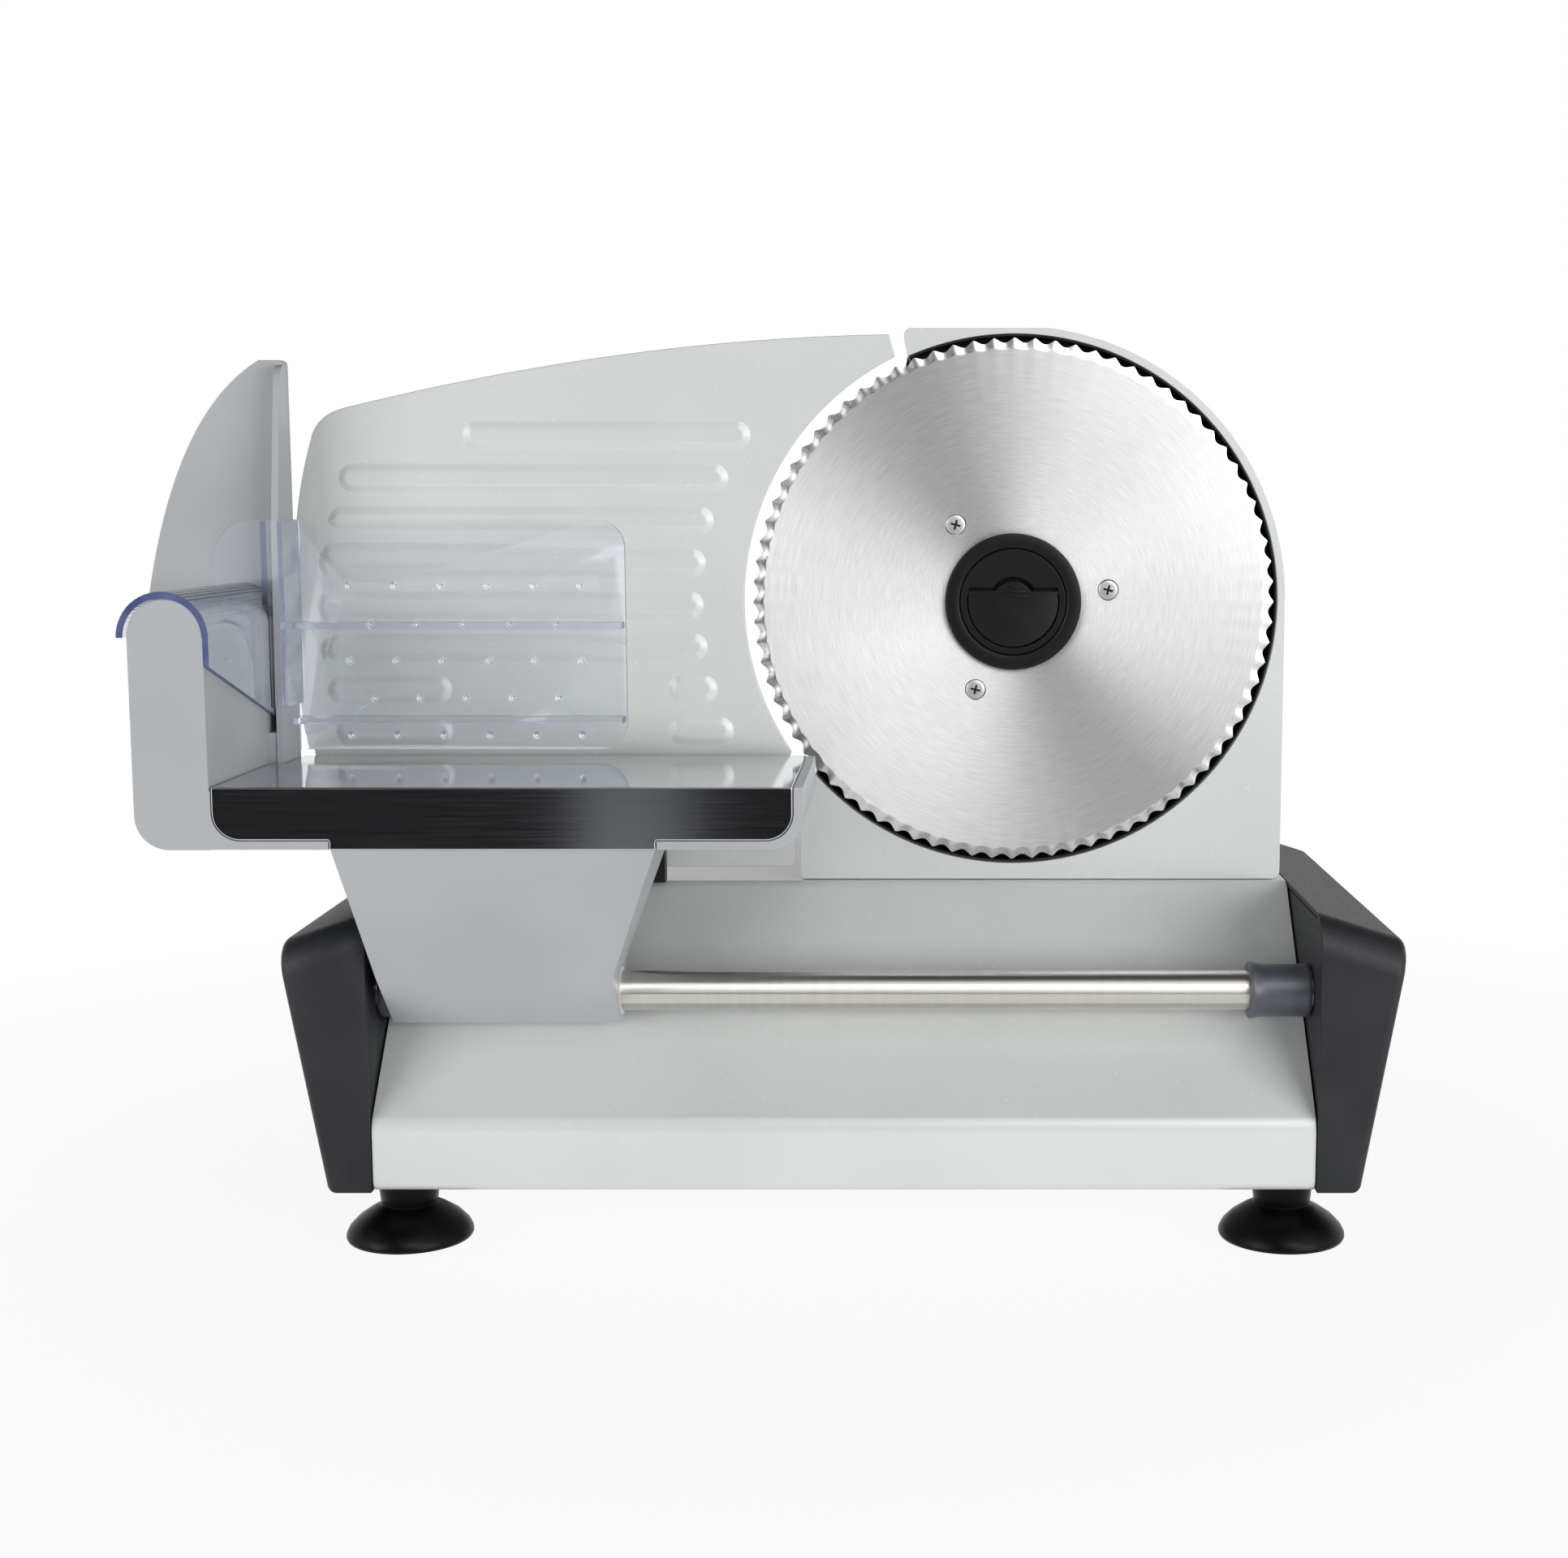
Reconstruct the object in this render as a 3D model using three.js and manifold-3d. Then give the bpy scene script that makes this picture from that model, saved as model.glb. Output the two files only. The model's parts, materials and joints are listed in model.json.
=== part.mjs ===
import * as THREE from "three";
import { mergeVertices } from "three/addons/utils/BufferGeometryUtils.js";
import Module from "manifold-3d";

const wasm = await Module();
wasm.setup();

// An electric food slicer. Sizes are in millimetres: X to the right, Y away from the user, Z up.
// The middle of the base is X 0, the blade's cutting plane is Y 0 and the table is Z 0.

// Clearances
const SEAT = 0.3; // between pieces that rest on or in each other
const RUN = 0.05; // radial, for what turns or slides on a shaft

// Base: folded sheet frame, cheeks and feet
const FRAME_WIDTH = 322;
const SHEET = 1.5;
const FOLD_RADIUS = 4;
const BASE_DEPTH = 210;
const LIP_Y = -76; // front face of the lip
const LIP_HEIGHT = 24;
const DECK_HEIGHT = 115.5;
const SLOPE_ANGLE = 45;
const BOTTOM_FLANGE = 32;
const PLATE_SHEET = 1.2;
const FOOT_HEIGHT = 20;
const FOOT_RADIUS = 21.8;
const FOOT_RIM = 1.6;
const FOOT_NECK_RADIUS = 10.5;
const FOOT_CUP_HEIGHT = 8;
const FOOT_SCREW_SEAT = 9; // height of the screw head's seat
const FOOT_INSET_X = 9;
const FOOT_INSET_Y = 15;
const FOOT_SCREW_RADIUS = 2.3;
const SCREW_HEAD_HEIGHT = 3;
const CHEEK_TOP_WIDTH = 30.4;
const CHEEK_BOTTOM_WIDTH = 15.2;
const CHEEK_FALL = 9.6; // how far the top falls towards the outside
const CHEEK_PROUD = 1; // beyond the lip and the back wall
const CHEEK_WALL = 2.5;
const GLAND_INSET_X = 51;
const GLAND_RISE = 25;
const GLAND_RADIUS = 7.5;
const VENT_LENGTH = 80;
const VENT_WIDTH = 4;
const VENT_PITCH = 8;

// Guide rod and its stops
const ROD_RADIUS = 7;
const ROD_Y = -54;
const ROD_RISE = 19.7; // rod's middle above the slope
const ROD_GRIP = 8; // length held in each cheek
const ROD_SCREW_RADIUS = 2.4;
const STOP_LENGTH = 21.4;
const STOP_RADIUS = 9.2;

// Blade, hub and lock
const BLADE_RADIUS = 95;
const BLADE_X = 60;
const BLADE_LIFT = 7.5; // lowest tooth above the deck
const BLADE_TEETH = 80;
const TOOTH_DEPTH = 2.4;
const BLADE_SHEET = 1.2;
const BLADE_DISH = 3; // how far the middle lies behind the cutting plane
const BEVEL_WIDTH = 7;
const BLADE_SCREW_CIRCLE = 35;
const BLADE_SCREW_ANGLE = 7;
const BLADE_SCREW_HEAD = 3.5;
const HUB_RADIUS = 42;
const HUB_FLANGE = 4;
const HUB_BOSS_RADIUS = 13;
const HUB_RING_RADIUS = 24.9;
const LOCK_RADIUS = 19.3;
const LOCK_SUNK = 0.8; // face of the lock behind the cutting plane
const LEVER_RADIUS = 16.4;
const LEVER_FLAT = 4.4; // straight edge above the middle
const LEVER_THICKNESS = 2.4;
const TAB_RADIUS = 6.6;

// Blade housing and motor cover
const BLADE_CLEAR = 1.4; // between the teeth and the recess
const HOUSING_RIM = 2.6; // round the recess
const HOUSING_FLAT = 0.7; // cut off at the top
const HOUSING_REACH = 78; // to the left of the blade axis
const HOUSING_DEPTH = 30;
const RECESS_DEPTH = 20;
const HOUSING_WALL = 2.5;
const COVER_DEPTH = 92;
const COVER_INSET = 1; // inside the housing's edge
const COVER_ROUNDING = 10;
const SWITCH_RISE = 21; // switch's middle above the housing's foot

// Drive: motor, worm and worm wheel
const SPINDLE_RADIUS = 5;
const BUSH_RADIUS = 9;
const GEAR_TEETH = 40;
const GEAR_MODULE = 1.5;
const GEAR_WIDTH = 10;
const GEAR_Y = 65; // middle of the worm wheel
const WORM_RADIUS = 6; // pitch radius
const WORM_LENGTH = 24;
const SHAFT_RADIUS = 3;
const MOTOR_RADIUS = 25;
const MOTOR_GAP = 7.5; // between the motor's end and the cover's side
const CASE_PLATE = 4;

// Fence and thickness setting
const FENCE_SHEET = 1.7;
const RIB_HEIGHT = 1.2;
const RIB_WIDTH = 12;
const RIB_PITCH = 15.35;
const RIB_TOP_ROW = 60.2; // above the blade axis
const RIB_MARGIN = 13.8; // from the ribs' right ends to the fence's round edge
const RIB_BREAK_LEFT = 58.5; // lowest ribs stop this far from the fence's left edge
const RIB_BREAK_RIGHT = 15.4; // and start again this far from their round margin
const FENCE_GAP = 3.2; // between the teeth and the fence's round edge
const FENCE_REACH = 263; // to the left of the blade axis
const FENCE_LIFT = 4.5; // above the deck
const FENCE_TRAVEL = 15;
const DIAL_TURN = 300; // degrees for the whole travel
const DIAL_INSET_X = 51; // from the frame's left side
const DIAL_DROP = 30.5; // dial's middle below the deck
const DIAL_RADIUS = 24;
const DIAL_DEPTH = 22;
const DIAL_SPINDLE_RADIUS = 4;
const DIAL_BUSH_WALL = 3;
const CAM_RADIUS = 10;
const CAM_PIN_RADIUS = 2;
const RAIL_RADIUS = 4;
const RAIL_SPREAD = 60;
const BLOCK_HEIGHT = 30;
const BLOCK_DEPTH = 30;
const BLOCK_EDGE = 10; // beyond each rail's middle
const ARM_WIDTH = 10;
const ARM_THICKNESS = 5;
const ARM_REACH = 16; // cam pin behind the block at full travel
const STAND_EDGE = 9; // beyond each rail's middle
const STAND_SHEET = 3;
const STAND_FOOT = 18;
const BRACKET_WIDTH = 30;
const BRACKET_SHEET = 3;

// Carriage and pusher
const TRAY_WIDTH = 188.4;
const TRAY_DEPTH = 92;
const TRAY_RISE = 47; // above the deck
const TRAY_BACK = -7;
const TRAY_OVERHANG = 1.7; // behind the carriage
const TRAY_SHEET = 1;
const TRAY_LIP = 20.6;
const RAIL_OUT = 60.1; // rail's middle to the left of the leg
const RAIL_RISE = 48.5; // rail's middle above the tray
const RAIL_TOP_RADIUS = 12.3;
const CARRIAGE_WALL = 2.5;
const LEG_GAP = 4.4; // from the left cheek to the leg
const LEG_WIDTH = 79.1;
const LEG_WALL = 3;
const LEG_FLARE_LEFT = 9.4;
const LEG_FLARE_RIGHT = 17.5;
const GUARD_RISE = 141.7; // above the tray
const FLANGE_DEPTH = 22.3; // guard's flange along the tray
const GLIDE_LENGTH = 10;
const GLIDE_WALL = 1.5;
const REAR_GLIDE_WIDTH = 22;
const REAR_GLIDE_OUT = 10; // to the right of the leg
const REAR_GLIDE_FOOT = 10;
const REAR_GLIDE_GAP = 1.5; // in front of the cutting plane
const PUSHER_WALL = 2.2;
const PUSHER_SLIP = 0.4; // between the pusher's wall and the guard's flange
const PUSHER_WIDTH = 118.4;
const PUSHER_RISE = 85.5; // above the tray
const SPIKE_PITCH = 16.75;
const SPIKE_ROW_PITCH = 13.5;
const SPIKE_LENGTH = 2.8;

// Places that follow from the sizes above
const slope = Math.tan(rad(SLOPE_ANGLE));
const frameHalf = FRAME_WIDTH / 2;
const baseBottom = FOOT_HEIGHT;
const lipTop = baseBottom + LIP_HEIGHT;
const backY = LIP_Y + BASE_DEPTH;
const slopeTopY = LIP_Y + (DECK_HEIGHT - lipTop) / slope;
const plateBottom = baseBottom + SHEET + SEAT;
const plateTop = plateBottom + PLATE_SHEET;
const cheekInner = frameHalf + SEAT;
const rodZ = lipTop + (ROD_Y - LIP_Y) * slope + ROD_RISE;
const rodAxis = [ROD_Y, rodZ];
const bladeZ = DECK_HEIGHT + BLADE_LIFT + BLADE_RADIUS;
const bladeAxis = [BLADE_X, bladeZ];
const hubFront = BLADE_DISH + BLADE_SHEET + SEAT;
const hubBack = RECESS_DEPTH - 2 * SEAT;
const recessRadius = BLADE_RADIUS + BLADE_CLEAR;
const housingRadius = recessRadius + HOUSING_RIM;
const housingTop = bladeZ + housingRadius - HOUSING_FLAT;
const housingLeft = BLADE_X - HOUSING_REACH;
const housingBottom = DECK_HEIGHT + SEAT;
const floorBack = RECESS_DEPTH + HOUSING_WALL;
const coverFront = HOUSING_DEPTH + SEAT;
const gearRadius = (GEAR_TEETH * GEAR_MODULE) / 2;
const toothPitch = Math.PI * GEAR_MODULE;
const toothAbove = 0.88 * GEAR_MODULE;
const wormZ = bladeZ - gearRadius - WORM_RADIUS;
const wormAxis = [GEAR_Y, wormZ];
const casePlateY = GEAR_Y - GEAR_WIDTH / 2 - 2 * CASE_PLATE - 2;
const motorFace = BLADE_X + gearRadius + CASE_PLATE;
const coverRight = BLADE_X + housingRadius - COVER_INSET;
const motorEnd = coverRight - HOUSING_WALL - MOTOR_GAP;
const fenceArc = BLADE_RADIUS + FENCE_GAP;
const fenceLeft = BLADE_X - FENCE_REACH;
const dialZ = DECK_HEIGHT - DIAL_DROP;
const dialX = DIAL_INSET_X - frameHalf;
const dialAxis = [dialX, dialZ];
const trayTop = DECK_HEIGHT + TRAY_RISE;
const trayBottom = trayTop - TRAY_SHEET;
const trayFront = TRAY_BACK - TRAY_DEPTH;
const lipBack = trayFront + TRAY_SHEET;
const carriageBottom = trayTop - TRAY_LIP;
const legLeft = -frameHalf + LEG_GAP;
const legRight = legLeft + LEG_WIDTH;
const railX = legLeft - RAIL_OUT;
const railZ = trayTop + RAIL_RISE;
const railAxis = [railX, railZ];
const blockRight = railX + RAIL_TOP_RADIUS;
const trayLeft = blockRight + 2 * SEAT;
const trayRight = trayLeft + TRAY_WIDTH;
const tubeInner = RAIL_TOP_RADIUS + SEAT;
const tubeOuter = tubeInner + PUSHER_WALL;
const guardBack = TRAY_BACK - TRAY_OVERHANG;
const guardFront = guardBack - CARRIAGE_WALL;
const guardRight = railX + tubeOuter + PUSHER_SLIP + CARRIAGE_WALL;
const guardTop = trayTop + GUARD_RISE;
const flangeFront = guardBack - FLANGE_DEPTH;

function rad(degrees) {
  return THREE.MathUtils.degToRad(degrees);
}

// Outlines are lists of [across, up] points

function arc(x, y, radius, from, to, steps = 8) {
  return Array.from({ length: steps + 1 }, (_, i) => {
    const angle = rad(from + ((to - from) * i) / steps);
    return [x + radius * Math.cos(angle), y + radius * Math.sin(angle)];
  });
}

function curve(start, control, end, steps = 8) {
  const [a, b, c] = [start, control, end].map(([x, y]) => new THREE.Vector2(x, y));
  return new THREE.QuadraticBezierCurve(a, b, c).getPoints(steps).map((p) => [p.x, p.y]);
}

// Corners are [across, up, radius], and a corner with a radius is rounded
function rounded(corners, steps = 3) {
  return corners.flatMap(([x, y, radius = 0], i) => {
    if (radius === 0) return [[x, y]];
    const corner = new THREE.Vector2(x, y);
    const [before, after] = [corners.at(i - 1), corners[(i + 1) % corners.length]].map(
      ([u, v]) => new THREE.Vector2(u, v).sub(corner).normalize(),
    );
    const reach = radius / Math.tan(Math.acos(before.dot(after)) / 2);
    const start = corner.clone().addScaledVector(before, reach);
    const end = corner.clone().addScaledVector(after, reach);
    return curve(start.toArray(), [x, y], end.toArray(), steps);
  });
}

function rectangle(left, right, bottom, top, radius = 0) {
  return rounded([
    [left, bottom, radius],
    [right, bottom, radius],
    [right, top, radius],
    [left, top, radius],
  ]);
}

// A line of points moved sideways, to the right of the way it runs
function shifted(points, distance, closed) {
  const last = points.length - 1;
  const places = points.map((point) => new THREE.Vector2(...point));
  const direction = (i, j) => places[j].clone().sub(places[i]).normalize();
  return points.map(([x, y], i) => {
    const before = i === 0 && !closed ? direction(0, 1) : direction(i === 0 ? last : i - 1, i);
    const after = i === last && !closed ? before : direction(i, i === last ? 0 : i + 1);
    const across = new THREE.Vector2(before.y + after.y, -before.x - after.x).normalize();
    const reach = distance / (across.x * before.y - across.y * before.x);
    return [x + across.x * reach, y + across.y * reach];
  });
}

function inset(points, distance) {
  const turn = THREE.ShapeUtils.area(points.map(([x, y]) => new THREE.Vector2(x, y)));
  return shifted(points, -Math.sign(turn) * distance, true);
}

// The section of a sheet whose outer face follows a line
function folded(line, thickness) {
  return [...line, ...shifted(line, thickness, false).reverse()];
}

// Solids

function solid(geometry) {
  geometry.deleteAttribute("normal");
  geometry.deleteAttribute("uv");
  const merged = mergeVertices(geometry, 1e-4);
  const mesh = { numProp: 3, vertProperties: merged.attributes.position.array };
  const triangles = new Uint32Array(merged.index.array);
  const made = new wasm.Manifold(new wasm.Mesh({ ...mesh, triVerts: triangles }));
  if (made.volume() > 0) return made;
  return new wasm.Manifold(new wasm.Mesh({ ...mesh, triVerts: triangles.reverse() }));
}

function join(first, ...others) {
  return others.reduce((sum, other) => sum.add(other), first);
}

function cut(first, ...tools) {
  return tools.reduce((rest, tool) => rest.subtract(tool), first);
}

const [alongX, alongY, alongZ] = [[1, 0, 0], [0, 1, 0], [0, 0, 1]].map((v) => new THREE.Vector3(...v));
const TURNS = {
  x: new THREE.Matrix4().makeBasis(alongY, alongZ, alongX),
  y: new THREE.Matrix4().makeBasis(alongX, alongZ, alongY.clone().negate()),
  z: new THREE.Matrix4(),
};

// An outline pulled along an axis; it is drawn in YZ, XZ or XY, as the axis is x, y or z
function prism(axis, from, to, points) {
  const shape = new THREE.Shape(points.map(([x, y]) => new THREE.Vector2(x, y)));
  const geometry = new THREE.ExtrudeGeometry(shape, { depth: to - from, bevelEnabled: false });
  geometry.applyMatrix4(TURNS[axis]);
  const start = { x: [from, 0, 0], y: [0, to, 0], z: [0, 0, from] }[axis];
  return solid(geometry.translate(...start));
}

// Lies along an axis what was made along Y, with its middle line at a place across that axis
function lay(geometry, axis, [a, b]) {
  if (axis === "x") return solid(geometry.rotateZ(-Math.PI / 2).translate(0, a, b));
  if (axis === "z") return solid(geometry.rotateX(Math.PI / 2).translate(a, b, 0));
  return solid(geometry.translate(a, 0, b));
}

function round(axis, radius, from, to, place, sides = 16) {
  const geometry = new THREE.CylinderGeometry(radius, radius, to - from, sides);
  return lay(geometry.translate(0, (from + to) / 2, 0), axis, place);
}

// The corner radius of a polygon whose flats lie at a radius, so that a shaft turns freely in it
function free(radius, sides) {
  return radius / Math.cos(Math.PI / sides);
}

function bore(axis, radius, from, to, place, sides = 16) {
  return round(axis, free(radius, sides), from, to, place, sides);
}

// A profile of [radius, along] points turned about an axis
function turned(axis, profile, place, sides = 16) {
  const points = profile.map(([radius, along]) => new THREE.Vector2(radius, along));
  return lay(new THREE.LatheGeometry(points, sides), axis, place);
}

function ring(inner, outer, from, to) {
  return [
    [inner, from],
    [outer, from],
    [outer, to],
    [inner, to],
    [inner, from],
  ];
}

function screw(head, shank, headFrom, headTo, tip) {
  return [
    [0, headFrom],
    [head, headFrom],
    [head, headTo],
    [shank, headTo],
    [shank, tip],
    [0, tip],
  ];
}

// A section of [radius, along] points wound about an axis, the angle counted about that axis
function coil(axis, section, lead, from, to, place, stepsPerTurn = 16) {
  const shape = new THREE.Shape(section.map(([radius, along]) => new THREE.Vector2(radius, along)));
  const steps = Math.ceil(((to - from) / 360) * stepsPerTurn);
  const geometry = new THREE.ExtrudeGeometry(shape, { depth: rad(to - from), steps, bevelEnabled: false });
  const place3 = geometry.attributes.position;
  for (let i = 0; i < place3.count; i += 1) {
    const [radius, along, angle] = [place3.getX(i), place3.getY(i), place3.getZ(i) + rad(from)];
    const height = along + (lead * angle) / (2 * Math.PI);
    place3.setXYZ(i, radius * Math.cos(angle), height, -radius * Math.sin(angle));
  }
  return lay(geometry, axis, place);
}

// Materials

const painted = { color: 0xd0d3d1, roughness: 0.42, metalness: 0.2 };
const blackPlastic = { color: 0x2c2d2f, roughness: 0.5, metalness: 0 };
const greyPlastic = { color: 0xacb0b4, roughness: 0.5, metalness: 0 };
const whitePlastic = { color: 0xe4e2da, roughness: 0.5, metalness: 0 };
const clearPlastic = { color: 0xd5def2, roughness: 0.08, metalness: 0, transparent: true, opacity: 0.35 };
const rubber = { color: 0x17181a, roughness: 0.45, metalness: 0 };
const steel = { color: 0xc4c6c8, roughness: 0.28, metalness: 1 };
const polished = { color: 0xb9bcc0, roughness: 0.08, metalness: 1 };
const zinc = { color: 0xa9abad, roughness: 0.4, metalness: 1 };
const bronze = { color: 0xa8804a, roughness: 0.4, metalness: 1 };

const slicer = new THREE.Group();

function piece(name, body, look) {
  const { vertProperties, triVerts } = body.getMesh();
  const geometry = new THREE.BufferGeometry();
  geometry.setAttribute("position", new THREE.BufferAttribute(new Float32Array(vertProperties), 3));
  geometry.setIndex(new THREE.BufferAttribute(new Uint32Array(triVerts), 1));
  geometry.computeVertexNormals();
  const mesh = new THREE.Mesh(geometry, new THREE.MeshStandardMaterial(look));
  mesh.name = name;
  slicer.add(mesh);
}

// Feet stand under the bottom flanges, two in front and two behind
const footPlaces = [LIP_Y + FOOT_INSET_Y, backY - FOOT_INSET_Y].flatMap((y) =>
  [-1, 1].map((side) => [side * (frameHalf - FOOT_INSET_X), y]),
);

function addFeet() {
  const headRadius = 2 * FOOT_SCREW_RADIUS;
  const hole = FOOT_SCREW_RADIUS + SEAT;
  const profile = [
    [hole, FOOT_SCREW_SEAT],
    [headRadius + SEAT, FOOT_SCREW_SEAT],
    [headRadius + SEAT, FOOT_SCREW_SEAT - SCREW_HEAD_HEIGHT - SEAT],
    [FOOT_RADIUS - FOOT_RIM, 0],
    [FOOT_RADIUS, 0],
    [FOOT_RADIUS, FOOT_RIM],
    [FOOT_NECK_RADIUS, FOOT_CUP_HEIGHT],
    [FOOT_NECK_RADIUS, FOOT_HEIGHT],
    [hole, FOOT_HEIGHT],
    [hole, FOOT_SCREW_SEAT],
  ];
  const headTop = FOOT_SCREW_SEAT - SEAT;
  const fastener = screw(headRadius, FOOT_SCREW_RADIUS, headTop - SCREW_HEAD_HEIGHT, headTop, plateTop + 4);
  footPlaces.forEach((place, i) => {
    piece(`foot_${i + 1}`, turned("z", profile, place), rubber);
    piece(`foot_screw_${i + 1}`, turned("z", fastener, place, 12), zinc);
  });
}

// The frame's side view, from the front flange over the slope and the deck to the back flange
function frameLine() {
  return rounded([
    [LIP_Y + BOTTOM_FLANGE, baseBottom],
    [LIP_Y, baseBottom, FOLD_RADIUS],
    [LIP_Y, lipTop, FOLD_RADIUS],
    [slopeTopY, DECK_HEIGHT, FOLD_RADIUS],
    [backY, DECK_HEIGHT, FOLD_RADIUS],
    [backY, baseBottom, FOLD_RADIUS],
    [backY - BOTTOM_FLANGE, baseBottom],
  ]);
}

const bracketLeft = dialX - BRACKET_WIDTH / 2;
const bracketRight = dialX + BRACKET_WIDTH / 2;
const bracketFront = RIB_HEIGHT + FENCE_SHEET + 2 * SEAT;
const bracketBack = bracketFront + BRACKET_SHEET;
const glandPlace = [frameHalf - GLAND_INSET_X, baseBottom + GLAND_RISE];
const dialBushRadius = DIAL_SPINDLE_RADIUS + DIAL_BUSH_WALL;

function footHoles(from, to) {
  return footPlaces.map((place) => round("z", FOOT_SCREW_RADIUS + SEAT, from, to, place, 12));
}

function addBase() {
  const frame = cut(
    prism("x", -frameHalf, frameHalf, folded(frameLine(), SHEET)),
    ...footHoles(baseBottom - 1, plateBottom),
    prism("z", DECK_HEIGHT - 2 * SHEET, DECK_HEIGHT + 1, rectangle(
      bracketLeft - 1, bracketRight + 1, bracketFront - 1.5, bracketBack + FENCE_TRAVEL + 1.5)),
    bore("y", dialBushRadius + SEAT, backY - 2 * SHEET, backY + 1, dialAxis),
    bore("y", GLAND_RADIUS + SEAT, backY - 2 * SHEET, backY + 1, glandPlace),
  );
  piece("base_frame", frame, painted);

  const plateInset = FOLD_RADIUS + SEAT;
  const middleY = (LIP_Y + backY) / 2;
  const vents = [-2, -1, 0, 1, 2].map((row) => {
    const y = middleY + VENT_PITCH * row;
    const outline = rectangle(-VENT_LENGTH / 2, VENT_LENGTH / 2, y - VENT_WIDTH / 2, y + VENT_WIDTH / 2);
    return prism("z", plateBottom - 1, plateTop + 1, outline);
  });
  const plate = prism("z", plateBottom, plateTop, rectangle(
    -frameHalf + 1, frameHalf - 1, LIP_Y + plateInset, backY - plateInset));
  piece("base_plate", cut(plate, ...vents, ...footHoles(plateBottom - 1, plateTop + 1)), zinc);
}

// A cheek is a shell whose inner wall is open behind the slope and closed in front of it
function cheek() {
  const front = LIP_Y - CHEEK_PROUD;
  const back = backY + CHEEK_PROUD;
  const face = (wall) => [
    [cheekInner + wall, baseBottom + wall],
    [cheekInner + wall, DECK_HEIGHT - wall, 2],
    [cheekInner + CHEEK_TOP_WIDTH - wall, DECK_HEIGHT - CHEEK_FALL - wall, 5],
    [cheekInner + CHEEK_BOTTOM_WIDTH - wall, baseBottom + wall, 3],
  ];
  const side = (wall) => [
    [front + wall, baseBottom + wall, 3],
    [front + wall, DECK_HEIGHT - wall, 12],
    [back - wall, DECK_HEIGHT - wall, 12],
    [back - wall, baseBottom + wall, 3],
  ];
  const shell = (wall) =>
    prism("y", front - 1, back + 1, rounded(face(wall))).intersect(
      prism("x", cheekInner - 1, cheekInner + CHEEK_TOP_WIDTH + 1, rounded(side(wall))));
  const rim = 3 * CHEEK_WALL;
  const opening = prism("x", cheekInner - 1, cheekInner + 2 * CHEEK_WALL, [
    [LIP_Y + 2 * rim, baseBottom + rim],
    [LIP_Y + 2 * rim, lipTop],
    [slopeTopY + rim, DECK_HEIGHT - rim],
    [backY - rim, DECK_HEIGHT - rim],
    [backY - rim, baseBottom + rim],
  ]);
  const bossEnd = cheekInner + ROD_GRIP + CHEEK_WALL;
  const boss = round("x", ROD_RADIUS + 4, cheekInner, bossEnd, rodAxis);
  return cut(
    join(cut(shell(0), shell(CHEEK_WALL), opening), boss),
    bore("x", ROD_RADIUS + RUN, cheekInner - 1, cheekInner + ROD_GRIP, rodAxis, 24),
    round("x", ROD_SCREW_RADIUS + SEAT, cheekInner, bossEnd + 1, rodAxis, 12),
  );
}

function addCheeksAndRod() {
  const right = cheek();
  const left = right.mirror([1, 0, 0]);
  piece("left_cheek", left, blackPlastic);
  piece("right_cheek", right, blackPlastic);

  const rodEnd = cheekInner + ROD_GRIP - SEAT;
  const threadEnd = rodEnd - 14;
  const tapped = (from, to) => round("x", ROD_SCREW_RADIUS + RUN, from, to, rodAxis, 12);
  const rod = cut(
    round("x", ROD_RADIUS, -rodEnd, rodEnd, rodAxis, 24),
    tapped(threadEnd - 1, rodEnd + 1),
    tapped(-rodEnd - 1, 1 - threadEnd),
  );
  piece("guide_rod", rod, steel);

  const headSeat = cheekInner + ROD_GRIP + CHEEK_WALL + SEAT;
  const headEnd = headSeat + SCREW_HEAD_HEIGHT;
  const profile = screw(2 * ROD_SCREW_RADIUS, ROD_SCREW_RADIUS, headEnd, headSeat, threadEnd);
  const fastener = turned("x", profile, rodAxis, 12);
  piece("rod_screw_left", fastener.mirror([1, 0, 0]), zinc);
  piece("rod_screw_right", fastener, zinc);

  const stopStart = frameHalf - STOP_LENGTH;
  const stop = turned("x", [
    [ROD_RADIUS + SEAT, stopStart],
    [STOP_RADIUS + 0.6, stopStart],
    [STOP_RADIUS + 0.6, stopStart + 2],
    [STOP_RADIUS, stopStart + 3.5],
    [STOP_RADIUS, frameHalf],
    [ROD_RADIUS + SEAT, frameHalf],
    [ROD_RADIUS + SEAT, stopStart],
  ], rodAxis);
  piece("bump_stop_left", stop.mirror([1, 0, 0]), rubber);
  piece("bump_stop_right", stop, rubber);
}

// The housing's front view: a round right side, a straight foot and a horn at the top left
function housingCorners() {
  const shoulder = THREE.MathUtils.radToDeg(Math.asin(1 - HOUSING_FLAT / housingRadius));
  const right = BLADE_X + housingRadius;
  return [
    [BLADE_X - 40.5, housingTop, 2],
    ...arc(BLADE_X, bladeZ, housingRadius, shoulder, 0, 16),
    [right, housingBottom, 3],
    [housingLeft, housingBottom, 2],
    [housingLeft, bladeZ - 77],
    [housingLeft + 5, bladeZ - 65],
    [BLADE_X - 38, housingTop - 11],
  ];
}

const switchFlange = 2;
const switchHalfY = 8;
const switchHalfZ = 14.6;
const switchY = coverFront + COVER_DEPTH - COVER_ROUNDING - switchFlange - switchHalfY;
const switchZ = housingBottom + SWITCH_RISE;

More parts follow.
